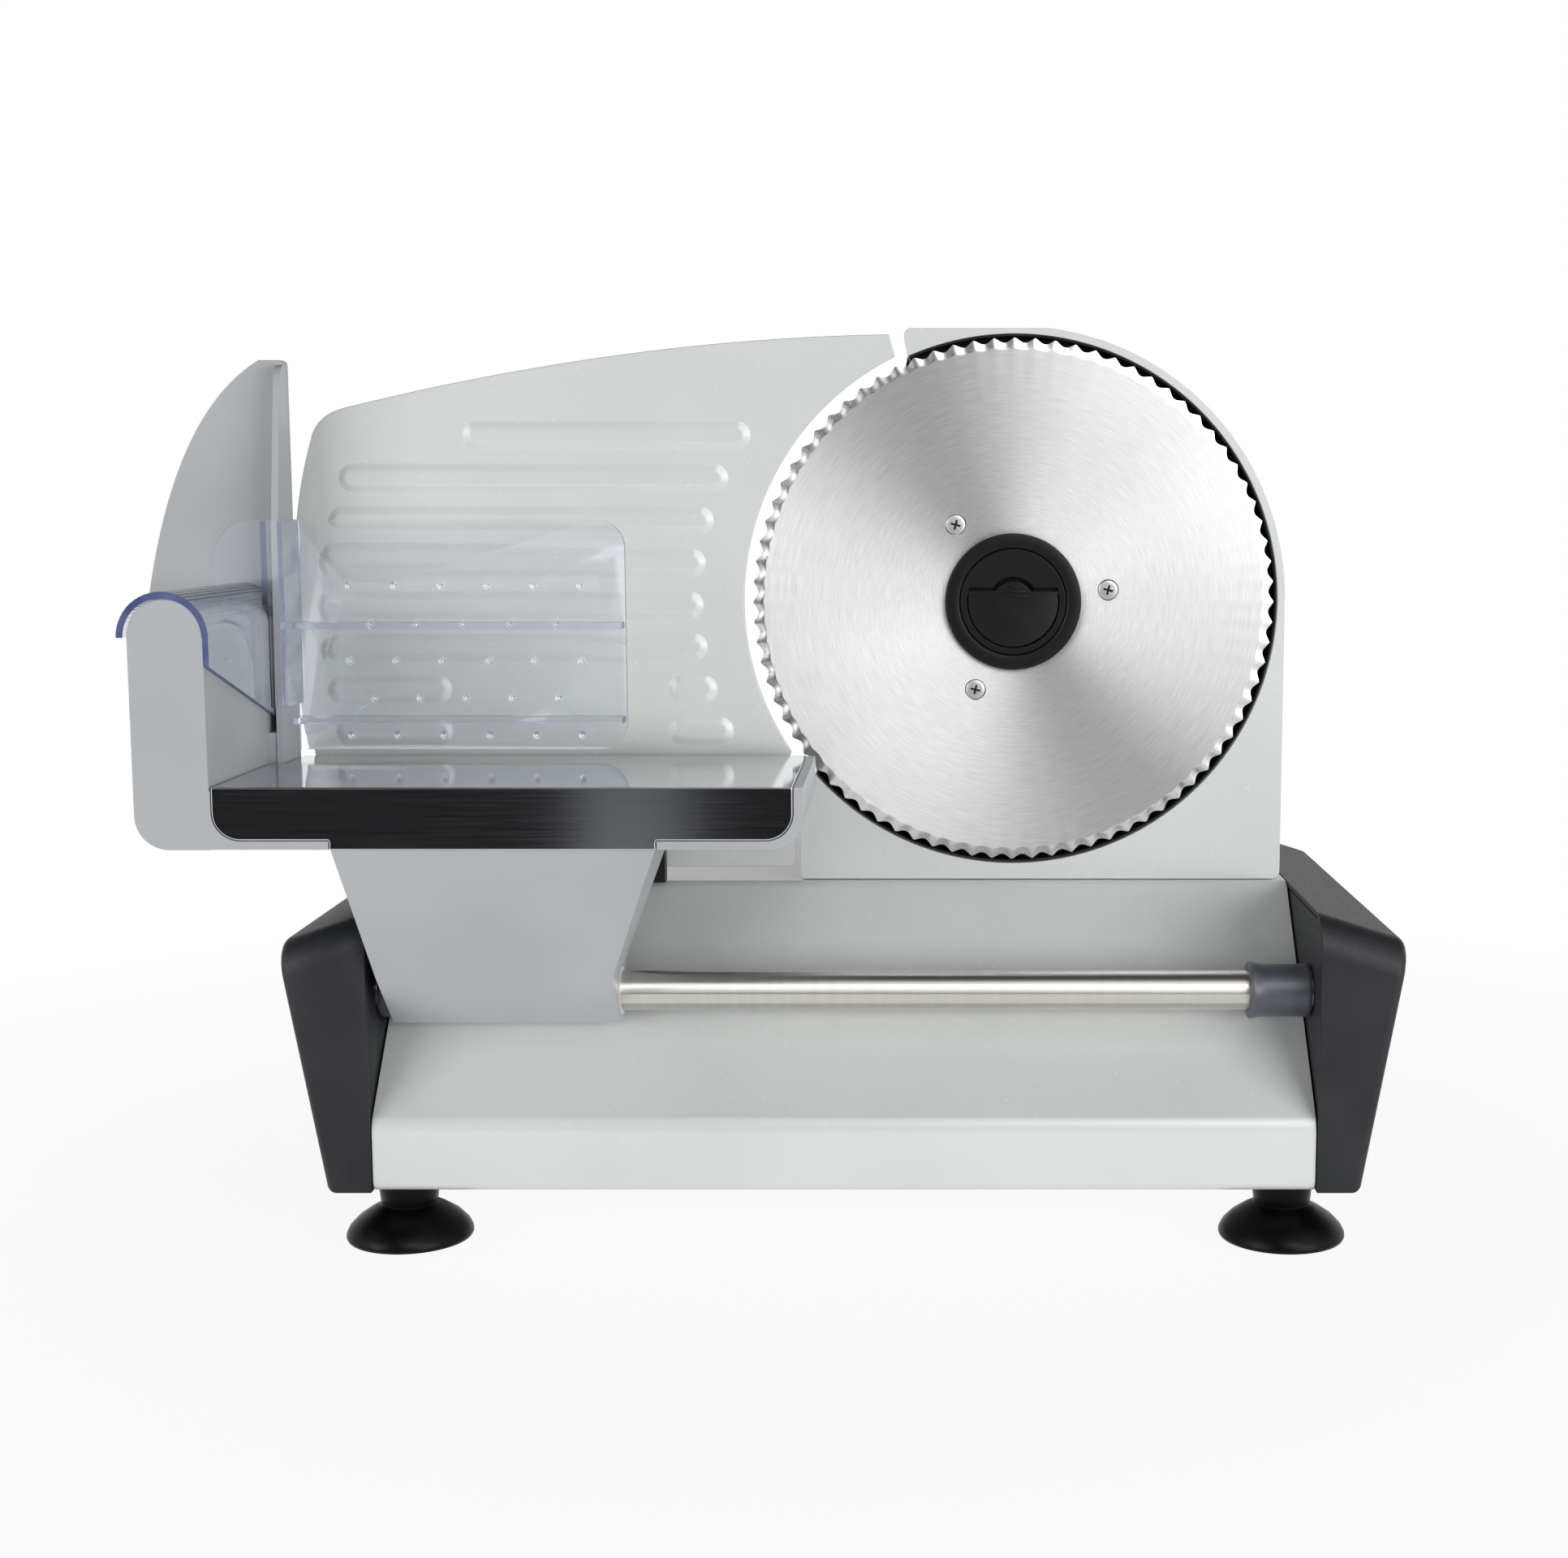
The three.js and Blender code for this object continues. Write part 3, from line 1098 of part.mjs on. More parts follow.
function addCarriage() {
  const block = join(
    prism("y", trayFront, guardBack, rounded([
      [railX - RAIL_TOP_RADIUS, carriageBottom, 11],
      [blockRight, carriageBottom, 1],
      [blockRight, railZ],
      [railX - RAIL_TOP_RADIUS, railZ],
    ])),
    round("y", RAIL_TOP_RADIUS, trayFront, guardBack, railAxis, 24),
  );
  const inner = RAIL_TOP_RADIUS - CARRIAGE_WALL;
  const blockHollow = join(
    prism("y", trayFront + CARRIAGE_WALL, guardFront, rectangle(
      railX - inner, railX + inner, carriageBottom - 1, railZ)),
    round("y", inner, trayFront + CARRIAGE_WALL, guardFront, railAxis, 16),
  );

  const rightEdge = trayRight + SEAT + 3;
  const apron = rounded([
    [blockRight - 1, carriageBottom],
    [rightEdge, carriageBottom, 11],
    [rightEdge, trayTop],
    [blockRight - 1, trayTop],
  ]);
  const lipSeat = prism("y", trayFront - 1, lipBack + SEAT, lipOutline(SEAT));
  const floor = cut(
    prism("y", trayFront, guardBack, apron),
    prism("z", trayBottom - SEAT, trayTop + 1, rectangle(
      blockRight, trayRight + SEAT, trayFront - 1, guardBack + 1)),
    prism("y", lipBack + SEAT + CARRIAGE_WALL, guardBack - CARRIAGE_WALL, rectangle(
      blockRight, rightEdge - CARRIAGE_WALL, carriageBottom - 1, trayBottom - SEAT - CARRIAGE_WALL)),
  );

  const guardLeft = railX - 34.5;
  const guard = prism("y", guardFront, guardBack, [
    [guardRight, carriageBottom + 8],
    [guardRight, guardTop - 2],
    [guardRight - 3, guardTop],
    ...curve([guardRight - 10, guardTop], [guardRight - 40.5, guardTop - 18], [guardLeft, railZ + 11], 12),
    ...curve([guardLeft, railZ + 10], [guardLeft, railZ - 24], [railX, railZ - 40], 8),
  ]);
  const flange = prism("x", guardRight - CARRIAGE_WALL, guardRight, [
    [guardBack, trayBottom - 2],
    [guardBack, guardTop - 2],
    [flangeFront + 16, guardTop - 2],
    [flangeFront + 3, railZ + 38],
    [flangeFront, trayBottom - 2],
  ]);
  const side = cut(join(block, guard), blockHollow);
  const carrier = cut(join(floor, leg()), lipSeat);
  piece("carriage_body", join(side, carrier, flange), greyPlastic);

  const tray = cut(
    join(
      prism("z", trayBottom, trayTop, rectangle(trayLeft, trayRight, trayFront, TRAY_BACK)),
      prism("y", trayFront, lipBack, lipOutline(0)),
    ),
    prism("z", trayBottom - 1, trayTop + 1, rectangle(
      trayLeft - 1, guardRight + 2 * SEAT, flangeFront - 1, TRAY_BACK + 1)),
  );
  piece("food_tray", tray, polished);

  const rodHole = free(ROD_RADIUS + RUN, 24);
  const glide = (from) => turned("x", ring(rodHole, glideRadius, from, from + GLIDE_LENGTH), rodAxis, 24);
  piece("glide_bush_left", glide(leftWeb), whitePlastic);
  piece("glide_bush_right", glide(legRight - GLIDE_LENGTH), whitePlastic);

  const glideFront = guardBack + SEAT;
  const glideBack = -REAR_GLIDE_GAP;
  const glideRight = legRight + REAR_GLIDE_OUT;
  piece("rear_glide", prism("x", glideRight - REAR_GLIDE_WIDTH, glideRight, [
    [glideFront, DECK_HEIGHT + SEAT],
    [glideBack, DECK_HEIGHT + SEAT],
    [glideBack, DECK_HEIGHT + REAR_GLIDE_FOOT],
    [glideFront + 3, carriageBottom + 4],
    [glideFront + 3, trayBottom - 2],
    [glideFront, trayBottom - 2],
  ]), blackPlastic);
}

// Pusher: a half tube on the carriage rail, a wall beside it and a spiked plate across the tray
function addPusher() {
  const top = trayTop + PUSHER_RISE;
  const front = trayFront - 2;
  const back = guardFront - 2;
  const wallLeft = railX + tubeInner;
  const wallRight = railX + tubeOuter;
  const tube = prism("y", front, back, [
    ...arc(...railAxis, tubeOuter, 0, 180, 12),
    ...arc(...railAxis, tubeInner, 180, 0, 12),
  ]);
  const channelFront = flangeFront - 1 - PUSHER_WALL;
  const low = railZ - 36.5;
  const wall = prism("x", wallLeft, wallRight, [
    [front, railZ + 0.5],
    [front, railZ - 9.3],
    [back, low],
    [back, top],
    [channelFront, top],
    [channelFront, railZ + 0.5],
  ]);
  const plateLow = trayTop + 2.8;
  const armLeft = guardRight + 2 * SEAT;
  const armRight = armLeft + PUSHER_WALL;
  const right = armLeft + PUSHER_WIDTH;
  const plateBack = TRAY_BACK - SPIKE_LENGTH + 0.2;
  const plateFront = plateBack - PUSHER_WALL - 0.2;
  const cross = prism("y", channelFront, channelFront + PUSHER_WALL, rectangle(
    wallLeft, armRight, low + 8, top));
  const arm = prism("x", armLeft, armRight, rectangle(channelFront, plateBack, low + 8, top));
  const plate = prism("y", plateFront, plateBack, rounded([
    [armLeft, plateLow],
    [right, plateLow, 10],
    [right, top, 10],
    [armLeft, top],
  ]));
  const shield = cut(
    prism("y", back - PUSHER_WALL, back, rounded([
      [railX - 9.7, railZ],
      [wallRight, railZ],
      [wallRight, top],
      [railX - 9.7, top, 14],
    ])),
    bore("y", tubeInner, front, guardBack, railAxis, 24),
  );
  const ribs = [railZ - 0.6, railZ - 34.4].map((z) =>
    prism("z", z - PUSHER_WALL / 2, z + PUSHER_WALL / 2, rectangle(
      armLeft, right - 0.4, plateFront - 10, plateFront + 1)));
  const spikeTip = plateBack + SPIKE_LENGTH;
  const spike = [
    [0, plateBack - 1],
    [1.5, plateBack - 1],
    [1.5, plateBack],
    [0.3, spikeTip],
    [0, spikeTip],
  ];
  const spikes = [6, 5, 6, 5, 6].flatMap((count, row) => {
    const z = railZ + 13.3 - SPIKE_ROW_PITCH * row;
    const middle = (armRight + right) / 2;
    return Array.from({ length: count }, (_, i) => {
      const x = middle + (i - (count - 1) / 2) * SPIKE_PITCH;
      return turned("y", spike, [x, z], 4);
    });
  });
  piece("food_pusher", join(tube, wall, cross, arm, plate, shield, ...ribs, ...spikes), clearPlastic);
}

addFeet();
addBase();
addCheeksAndRod();
addHousing();
addSwitch();
addBlade();
addDrive();
addFence();
addGland();
addCarriage();
addPusher();

// The origin is under the middle of the whole slicer
const whole = new THREE.Box3().setFromObject(slicer);
const middle = whole.getCenter(new THREE.Vector3());
slicer.position.set(-middle.x, -middle.y, -whole.min.z);

export default slicer;
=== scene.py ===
import json
import math

import bmesh
import bpy
from mathutils import Matrix, Vector

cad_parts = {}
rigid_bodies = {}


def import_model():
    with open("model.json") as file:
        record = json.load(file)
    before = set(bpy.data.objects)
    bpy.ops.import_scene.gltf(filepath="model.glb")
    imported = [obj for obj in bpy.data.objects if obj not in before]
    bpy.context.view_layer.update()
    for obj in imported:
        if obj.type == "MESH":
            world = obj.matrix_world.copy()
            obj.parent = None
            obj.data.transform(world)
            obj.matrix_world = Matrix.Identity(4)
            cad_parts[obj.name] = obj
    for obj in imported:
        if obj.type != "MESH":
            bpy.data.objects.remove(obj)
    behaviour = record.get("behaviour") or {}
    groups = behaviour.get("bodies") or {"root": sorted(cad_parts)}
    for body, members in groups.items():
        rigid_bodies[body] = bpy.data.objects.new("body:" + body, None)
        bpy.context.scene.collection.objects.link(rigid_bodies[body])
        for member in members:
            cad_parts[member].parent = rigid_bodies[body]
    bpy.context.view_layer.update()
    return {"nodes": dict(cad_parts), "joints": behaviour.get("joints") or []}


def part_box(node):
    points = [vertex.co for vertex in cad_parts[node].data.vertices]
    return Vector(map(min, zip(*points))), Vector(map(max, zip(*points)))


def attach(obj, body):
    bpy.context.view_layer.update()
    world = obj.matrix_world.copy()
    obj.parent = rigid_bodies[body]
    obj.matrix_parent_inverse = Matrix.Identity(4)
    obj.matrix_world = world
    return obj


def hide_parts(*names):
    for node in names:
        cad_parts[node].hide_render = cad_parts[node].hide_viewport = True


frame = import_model()

# Camera: it stands in front, a little to the right of the base's middle and above the blade's
# middle, and looks slightly down. The slicer fills a frame of 1932 by 1920 pixels.
MM = 0.001
base_low, base_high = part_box("base_frame")
middle_x = (base_low.x + base_high.x) / 2
cut_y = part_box("blade")[0].y


def at(x, y, z):
    """A place in millimetres from the base's middle, the blade's cutting plane and the table."""
    return Vector((middle_x + x * MM, cut_y + y * MM, z * MM))


FRAME_WIDTH = 1932
FOCAL_PIXELS = 2735
AXIS_PIXEL = 1130
LOOK_DOWN = 7.1
CAMERA_PLACE = (24.9, -811.2, 254)
camera = bpy.data.objects.new("camera", bpy.data.cameras.new("camera"))
camera.location = at(*CAMERA_PLACE)
camera.rotation_euler = (math.radians(90 - LOOK_DOWN), 0, 0)
camera.data.sensor_width = 36
camera.data.lens = camera.data.sensor_width * FOCAL_PIXELS / FRAME_WIDTH
camera.data.shift_x = (FRAME_WIDTH / 2 - AXIS_PIXEL) / FRAME_WIDTH
bpy.context.scene.collection.objects.link(camera)
bpy.context.scene.camera = camera
bpy.context.scene.view_settings.view_transform = "Standard"


# Studio: a pale table top in a white room. The eye sees it plain white. Metal and clear plastic see
# soft boxes in front of the slicer, between them a dark strip with a lighter gap and a dark flag, and
# a dark ceiling. Matt faces are lit by the room, by the table and by soft lamps that nothing mirrors.
def linear(code):
    """A linear colour from an sRGB hex value."""
    shares = [int(code[i:i + 2], 16) / 255 for i in (1, 3, 5)]
    return [s / 12.92 if s <= 0.04045 else ((s + 0.055) / 1.055) ** 2.4 for s in shares] + [1]


def add(tree, kind, inputs=None, ramp=None, to=None, **settings):
    """Adds a node; an input is a value, or the socket or node that it is linked from."""
    made = tree.nodes.new(kind)
    for name, value in settings.items():
        setattr(made, name, value)
    for name, value in (inputs or {}).items():
        live = [i for i in made.inputs if i.enabled and i.name == name]
        socket = made.inputs[name] if isinstance(name, int) else live[0]
        if isinstance(value, bpy.types.Node):
            value = next(o for o in value.outputs if o.enabled)
        if isinstance(value, bpy.types.NodeSocket):
            tree.links.new(value, socket)
        else:
            socket.default_value = value
    for stop, (place, code) in zip(made.color_ramp.elements if ramp else [], ramp or []):
        stop.position = place
        stop.color = linear(code)
    if to is not None:
        tree.links.new(made.outputs[0], to)
    return made


ROOM_LIGHT, TABLE_LIGHT, SIDE_LIGHT, BOX_LIGHT = 0.45, 0.42, 0.5, 4.8
SIDE_WAY = (0.9, 0, 0.43)
# Soft boxes: the way to each one's middle and its reach in degrees, and the share that is fully lit.
SOFT_BOXES = [((0.64, -0.74, 0.22), 20), ((-0.76, -0.62, 0.24), 18), ((0.24, -0.8, 0.55), 15)]
BOX_CORE = 0.6
# Dark patches: a part of the direction, the patch's middle in it, how far from there the patch ends
# and is full, and its share beyond and within. The strip's last row is the lighter gap.
DARK_STRIP = [("Z", -0.14, 0.12, 0.06, 0, 1), ("X", -0.15, 0.42, 0.28, 0, 1),
              ("X", -0.125, 0.036, 0.012, 1, 0.62)]
DARK_FLAG = [("X", -0.45, 0.17, 0.08, 0, 1), ("Z", 0.0, 0.3, 0.2, 0, 1)]
world = bpy.data.worlds.new("white_room")
world.use_nodes = True
bpy.context.scene.world = world
tree = world.node_tree
tree.nodes.clear()
ray = add(tree, "ShaderNodeLightPath").outputs
direction = add(tree, "ShaderNodeTexCoord").outputs["Generated"]
parts = add(tree, "ShaderNodeSeparateXYZ", {"Vector": direction}).outputs
side_share = add(tree, "ShaderNodeVectorMath", {0: direction, 1: SIDE_WAY}, operation="DOT_PRODUCT")
aside = add(tree, "ShaderNodeMath", {0: side_share}, operation="ABSOLUTE")
shares = {}
for name, value, start, end in (
        ("down", parts["Z"], 0.6, -0.3), ("low", parts["Z"], 0.6, 0.2), ("side", aside, 0.05, 0.3),
        ("ceiling", parts["Z"], 0.8, 0.95), ("ahead", parts["Y"], 0.2, -0.3),
        ("flank", aside, 0.12, 0.5)):
    shares[name] = add(tree, "ShaderNodeMapRange", {"Value": value, "From Min": start, "From Max": end},
                       interpolation_type="SMOOTHSTEP")
dark = 0.0
for patch in (DARK_STRIP, DARK_FLAG):
    covered = shares["ahead"]
    for axis, middle, edge, core, beyond, within in patch:
        off = add(tree, "ShaderNodeMath", {0: parts[axis], 1: middle}, operation="SUBTRACT")
        away = add(tree, "ShaderNodeMath", {0: off}, operation="ABSOLUTE")
        near = add(tree, "ShaderNodeMapRange", {
            "Value": away, "From Min": edge, "From Max": core, "To Min": beyond, "To Max": within},
            interpolation_type="SMOOTHSTEP")
        covered = add(tree, "ShaderNodeMath", {0: covered, 1: near}, operation="MULTIPLY")
    dark = add(tree, "ShaderNodeMath", {0: dark, 1: covered}, operation="MAXIMUM")
glow = 0.0
for way, reach in SOFT_BOXES:
    edge, core = math.cos(math.radians(reach)), math.cos(math.radians(BOX_CORE * reach))
    facing = add(tree, "ShaderNodeVectorMath", {0: direction, 1: Vector(way).normalized()},
                 operation="DOT_PRODUCT")
    box = add(tree, "ShaderNodeMapRange", {"Value": facing, "From Min": edge, "From Max": core},
              interpolation_type="SMOOTHSTEP")
    glow = add(tree, "ShaderNodeMath", {0: glow, 1: box}, operation="ADD")
shares.update(dark=dark, glow=glow)
tones = {}
for name, share, first, second in (
        ("walls", "down", "#2c2c2d", "#ffffff"), ("back", "low", "#48494b", "#ffffff"),
        ("sides", "side", "#5c5d60", "#ffffff"), ("upper", "ceiling", "sides", "#2e2e2f"),
        ("open", "ahead", "back", "upper"), ("patched", "dark", "open", "#262627"),
        ("room", "glow", "patched", "#ffffff")):
    ends = [tones[tone] if tone in tones else linear(tone) for tone in (first, second)]
    tones[name] = add(tree, "ShaderNodeMix", {"Factor": shares[share], "A": ends[0], "B": ends[1]},
                      data_type="RGBA")
clear_side = add(tree, "ShaderNodeMath", {0: 1.0, 1: dark}, operation="SUBTRACT")
front_side = add(tree, "ShaderNodeMath", {0: shares["flank"], 1: shares["ahead"]}, operation="MULTIPLY")
lit_side = add(tree, "ShaderNodeMath", {0: front_side, 1: clear_side}, operation="MULTIPLY")
side_shine = add(tree, "ShaderNodeMath", {0: lit_side, 1: SIDE_LIGHT, 2: 1.0}, operation="MULTIPLY_ADD")
shine = add(tree, "ShaderNodeMath", {0: glow, 1: BOX_LIGHT - 1, 2: side_shine}, operation="MULTIPLY_ADD")
mirrored = add(tree, "ShaderNodeMath", {0: ray["Is Glossy Ray"], 1: ray["Is Transmission Ray"]},
               operation="MAXIMUM")
around = add(tree, "ShaderNodeBackground", {"Color": tones["walls"], "Strength": ROOM_LIGHT})
reflected = add(tree, "ShaderNodeBackground", {"Color": tones["room"], "Strength": shine})
plain = add(tree, "ShaderNodeBackground", {"Color": linear("#ffffff"), "Strength": 1.0})
unseen = add(tree, "ShaderNodeMixShader", {0: mirrored, 1: around, 2: reflected})
seen = add(tree, "ShaderNodeMixShader", {0: ray["Is Camera Ray"], 1: unseen, 2: plain})
add(tree, "ShaderNodeOutputWorld", {"Surface": seen})

FLOOR_SIZE, FLOOR_BACK = 2.4, 700
SPOT = (0, -FLOOR_BACK * MM, 0)
bpy.ops.object.select_all(action="DESELECT")
bpy.ops.mesh.primitive_plane_add(size=FLOOR_SIZE, location=at(0, FLOOR_BACK, 0))
floor = bpy.context.object
floor.name = "floor"
# Laminate table top: matt and near white, a little darker round the slicer and white further out.
table = bpy.data.materials.new("pale_table_top")
table.use_nodes = True
tree = table.node_tree
tree.nodes.clear()
ray = add(tree, "ShaderNodeLightPath").outputs
mirrored = add(tree, "ShaderNodeMath", {0: ray["Is Glossy Ray"], 1: ray["Is Transmission Ray"]},
               operation="MAXIMUM")
seen = add(tree, "ShaderNodeMath", {0: ray["Is Camera Ray"], 1: mirrored}, operation="MAXIMUM")
place = add(tree, "ShaderNodeTexCoord").outputs["Object"]
spot = add(tree, "ShaderNodeVectorMath", {0: place, 1: SPOT}, operation="DISTANCE")
pale = add(tree, "ShaderNodeMapRange", {
    "Value": spot, "From Min": 0.25, "From Max": 0.6, "To Min": 0.92, "To Max": 1.0})
share = add(tree, "ShaderNodeMapRange", {"Value": seen, "To Min": TABLE_LIGHT, "To Max": pale})
matt = add(tree, "ShaderNodeBsdfDiffuse", {"Color": linear("#f2f2f2")})
white = add(tree, "ShaderNodeEmission", {"Color": linear("#ffffff"), "Strength": 1.0})
top = add(tree, "ShaderNodeMixShader", {0: share, 1: matt, 2: white})
add(tree, "ShaderNodeOutputMaterial", {"Surface": top})
floor.data.materials.append(table)


def lamp(name, place, target, width, height, power):
    """A soft lamp that lights matt faces and shows in no reflection."""
    light = bpy.data.lights.new(name, "AREA")
    light.shape = "RECTANGLE"
    light.size = width
    light.size_y = height
    light.energy = power
    made = bpy.data.objects.new(name, light)
    made.location = place
    made.rotation_euler = (target - place).to_track_quat("-Z", "Y").to_euler()
    made.visible_glossy = False
    made.visible_transmission = False
    bpy.context.scene.collection.objects.link(made)


# Each lamp: its place, what it points at, its width and height in metres, and its power in watts.
lamp("top_lamp", at(150, -420, 1000), at(0, -20, 150), 1.0, 0.6, 1.0)
lamp("left_lamp", at(-900, -950, 200), at(-40, 0, 170), 0.9, 0.5, 6.8)
lamp("right_lamp", at(880, -940, 240), at(60, 0, 170), 0.9, 0.6, 10.2)
lamp("back_lamp", at(100, 1200, 620), at(0, 60, 150), 1.2, 0.7, 5.0)


# Suction feet: four moulded rubber cups, each on a tapered neck under the base's flange, with a
# screw up the middle. One is turned and copied to the four places.
def piece_mesh(piece):
    """The mesh that is open in edit mode, with its vertices numbered."""
    mesh = bmesh.from_edit_mesh(piece.data)
    mesh.verts.ensure_lookup_table()
    return mesh


def stroke(piece, points, closed=False):
    """Draws a line of points in edit mode, one after another, and fills it if it is closed."""
    bpy.ops.mesh.select_mode(type="VERT")
    bpy.ops.mesh.select_all(action="DESELECT")
    bpy.ops.mesh.primitive_plane_add(size=MM, location=points[0])
    bpy.ops.mesh.merge(type="CENTER")
    first = len(piece_mesh(piece).verts) - 1
    for here, there in zip(points, points[1:]):
        bpy.ops.mesh.extrude_region_move(TRANSFORM_OT_translate={"value": there - here})
    if closed:
        piece_mesh(piece).verts[first].select = True
        bpy.ops.mesh.edge_face_add()
        bpy.ops.mesh.select_linked(delimit=set())
        bpy.ops.mesh.edge_face_add()


def drawn(name, points, closed=False):
    """A new piece that starts as a line of points and stays open in edit mode."""
    bpy.ops.object.select_all(action="DESELECT")
    bpy.ops.mesh.primitive_plane_add(size=MM, location=(0, 0, 0))
    piece = bpy.context.object
    piece.name = piece.data.name = name
    bpy.ops.object.mode_set(mode="EDIT")
    bpy.ops.mesh.delete(type="VERT")
    stroke(piece, points, closed)
    return piece


def close_mesh():
    """Merges doubles and turns the faces out, then leaves edit mode."""
    bpy.ops.mesh.select_all(action="SELECT")
    bpy.ops.mesh.remove_doubles(threshold=0.002 * MM)
    bpy.ops.mesh.normals_make_consistent(inside=False)
    bpy.ops.object.mode_set(mode="OBJECT")


def turned(name, profile, centre, axis, steps=96):
    """A profile of (radius, along) points spun about an axis."""
    out = Vector((1, 0, 0)) if axis == "z" else Vector((0, 0, 1))
    way = Vector([float(axis == letter) for letter in "xyz"])
    piece = drawn(name, [centre + (out * r + way * a) * MM for r, a in profile])
    bpy.ops.mesh.select_all(action="SELECT")
    bpy.ops.mesh.spin(steps=steps, angle=math.tau, center=centre, axis=way)
    close_mesh()
    return piece


def choose(piece):
    """Makes a piece the only one that is selected."""
    bpy.ops.object.select_all(action="DESELECT")
    piece.select_set(True)
    bpy.context.view_layer.objects.active = piece


def smooth(piece, angle=35):
    """Shades a piece smooth, except across edges that are sharper than an angle."""
    choose(piece)
    bpy.ops.object.shade_smooth_by_angle(angle=math.radians(angle))


def copied(piece, name, change):
    """A copy with a mesh of its own, moved or mirrored in its mesh."""
    made = piece.copy()
    made.data = piece.data.copy()
    made.name = made.data.name = name
    made.data.transform(change)
    bpy.context.scene.collection.objects.link(made)
    return made


def surface(name, settings):
    """A material with one shader, the sockets that are the same all over, and its place on the piece."""
    made = bpy.data.materials.new(name)
    made.use_nodes = True
    shader = made.node_tree.nodes["Principled BSDF"]
    for socket, value in settings.items():
        shader.inputs[socket].default_value = value
    place = add(made.node_tree, "ShaderNodeTexCoord").outputs["Object"]
    return made, made.node_tree, shader.inputs, place


def dress(piece, material, body, slot, *nodes):
    """Gives a piece its material and the body that it moves with, and hides the nodes that it stands for.
    """
    piece.data.materials.clear()
    piece.data.materials.append(material)
    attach(piece, body)
    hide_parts(*nodes)


# Nitrile rubber, moulded: deep black and glossy, with a faint bloom that breaks the gloss in patches.
# Its grain is drawn coarser than it is, at half a millimetre.
rubber, tree, shader, place = surface("moulded_black_rubber", {"IOR": 1.52, "Specular IOR Level": 0.1})
bloom = add(tree, "ShaderNodeTexNoise", {"Vector": place, "Scale": 1 / (9 * MM), "Detail": 4.0})
add(tree, "ShaderNodeValToRGB", {"Fac": bloom}, ramp=[(0.3, "#030303"), (0.75, "#080808")],
    to=shader["Base Color"])
add(tree, "ShaderNodeMapRange", {"Value": bloom, "To Min": 0.22, "To Max": 0.42}, to=shader["Roughness"])
grain = add(tree, "ShaderNodeTexNoise", {"Vector": place, "Scale": 1 / (0.5 * MM)})
add(tree, "ShaderNodeBump", {"Height": grain, "Strength": 0.12, "Distance": 0.05 * MM},
    to=shader["Normal"])

foot_middles = [sum(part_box(f"foot_{i}"), Vector()) / 2 for i in (1, 2, 3, 4)]
first_place = Vector((foot_middles[0].x, foot_middles[0].y, 0))
foot = turned("suction_foot_1", [
    (2.6, 9), (4.9, 9), (5.2, 6), (10, 4.6), (16, 2.6), (20, 0.3), (20.7, 0), (21.4, 0.25), (21.8, 1.1),
    (21.7, 2.2), (20.6, 4.3), (17.8, 7.2), (13.8, 9.9), (10.6, 11.6), (9.8, 11.9), (9.5, 12.2),
    (9.5, 12.6), (9.8, 13.2), (10.5, 19.4), (10.2, 20), (2.6, 20), (2.6, 9)], first_place, "z")
smooth(foot, 30)
feet = [foot]
for number, middle in enumerate(foot_middles[1:], 2):
    feet.append(copied(foot, f"suction_foot_{number}", Matrix.Translation(middle - foot_middles[0])))
for number, made in enumerate(feet, 1):
    dress(made, rubber, "base", "rubber", f"foot_{number}")


# Base frame: one sheet of 1.5 mm steel folded into lip, 45 degree slope, deck, back wall and two
# bottom flanges, then painted. It is drawn as its side view and pulled to the frame's width.
def pick(piece, kind, test):
    """Selects only the faces, edges or vertices that pass a test, in edit mode."""
    bpy.ops.mesh.select_all(action="DESELECT")
    bpy.ops.mesh.select_mode(type={"faces": "FACE", "edges": "EDGE", "verts": "VERT"}[kind])
    mesh = bmesh.from_edit_mesh(piece.data)
    for part in getattr(mesh, kind):
        part.select_set(bool(test(part)))
    mesh.select_flush_mode()
    bmesh.update_edit_mesh(piece.data)


def applied(piece, kind, **settings):
    """Adds a modifier with its settings and applies it."""
    choose(piece)
    made = piece.modifiers.new(kind.lower(), kind)
    for name, value in settings.items():
        setattr(made, name, value)
    bpy.ops.object.modifier_apply(modifier=made.name)


def cut(piece, *tools, operation="DIFFERENCE"):
    """Cuts, joins or trims a piece with others, which are used up."""
    for tool in tools:
        applied(piece, "BOOLEAN", object=tool, operation=operation, solver="EXACT")
        bpy.data.objects.remove(tool)


def block(name, low, high):
    """A box between two corners, with its place in its mesh."""
    bpy.ops.object.select_all(action="DESELECT")
    bpy.ops.mesh.primitive_cube_add(size=1, location=(low + high) / 2, scale=high - low)
    bpy.ops.object.transform_apply(location=True, rotation=True, scale=True)
    made = bpy.context.object
    made.name = made.data.name = name
    return made


def drum(radius, start, end, axis="y", sides=64):
    """A round tool between two points on an axis."""
    middle = (start + end) / 2
    turn = {"x": (0, math.pi / 2, 0), "y": (math.pi / 2, 0, 0), "z": (0, 0, 0)}[axis]
    bpy.ops.object.select_all(action="DESELECT")
    bpy.ops.mesh.primitive_cylinder_add(
        vertices=sides, radius=radius * MM, depth=(end - start).length, location=middle, rotation=turn)
    bpy.ops.object.transform_apply(location=True, rotation=True, scale=True)
    return bpy.context.object


def even(piece):
    """Keeps flat faces flat up to their rounded edges."""
    choose(piece)
    if piece.data.has_custom_normals:
        bpy.ops.mesh.customdata_custom_splitnormals_clear()
    smooth(piece, 40)
    applied(piece, "WEIGHTED_NORMAL", keep_sharp=True, weight=100)


MERGE_GAP, FLAT_ANGLE = 0.03, 0.3


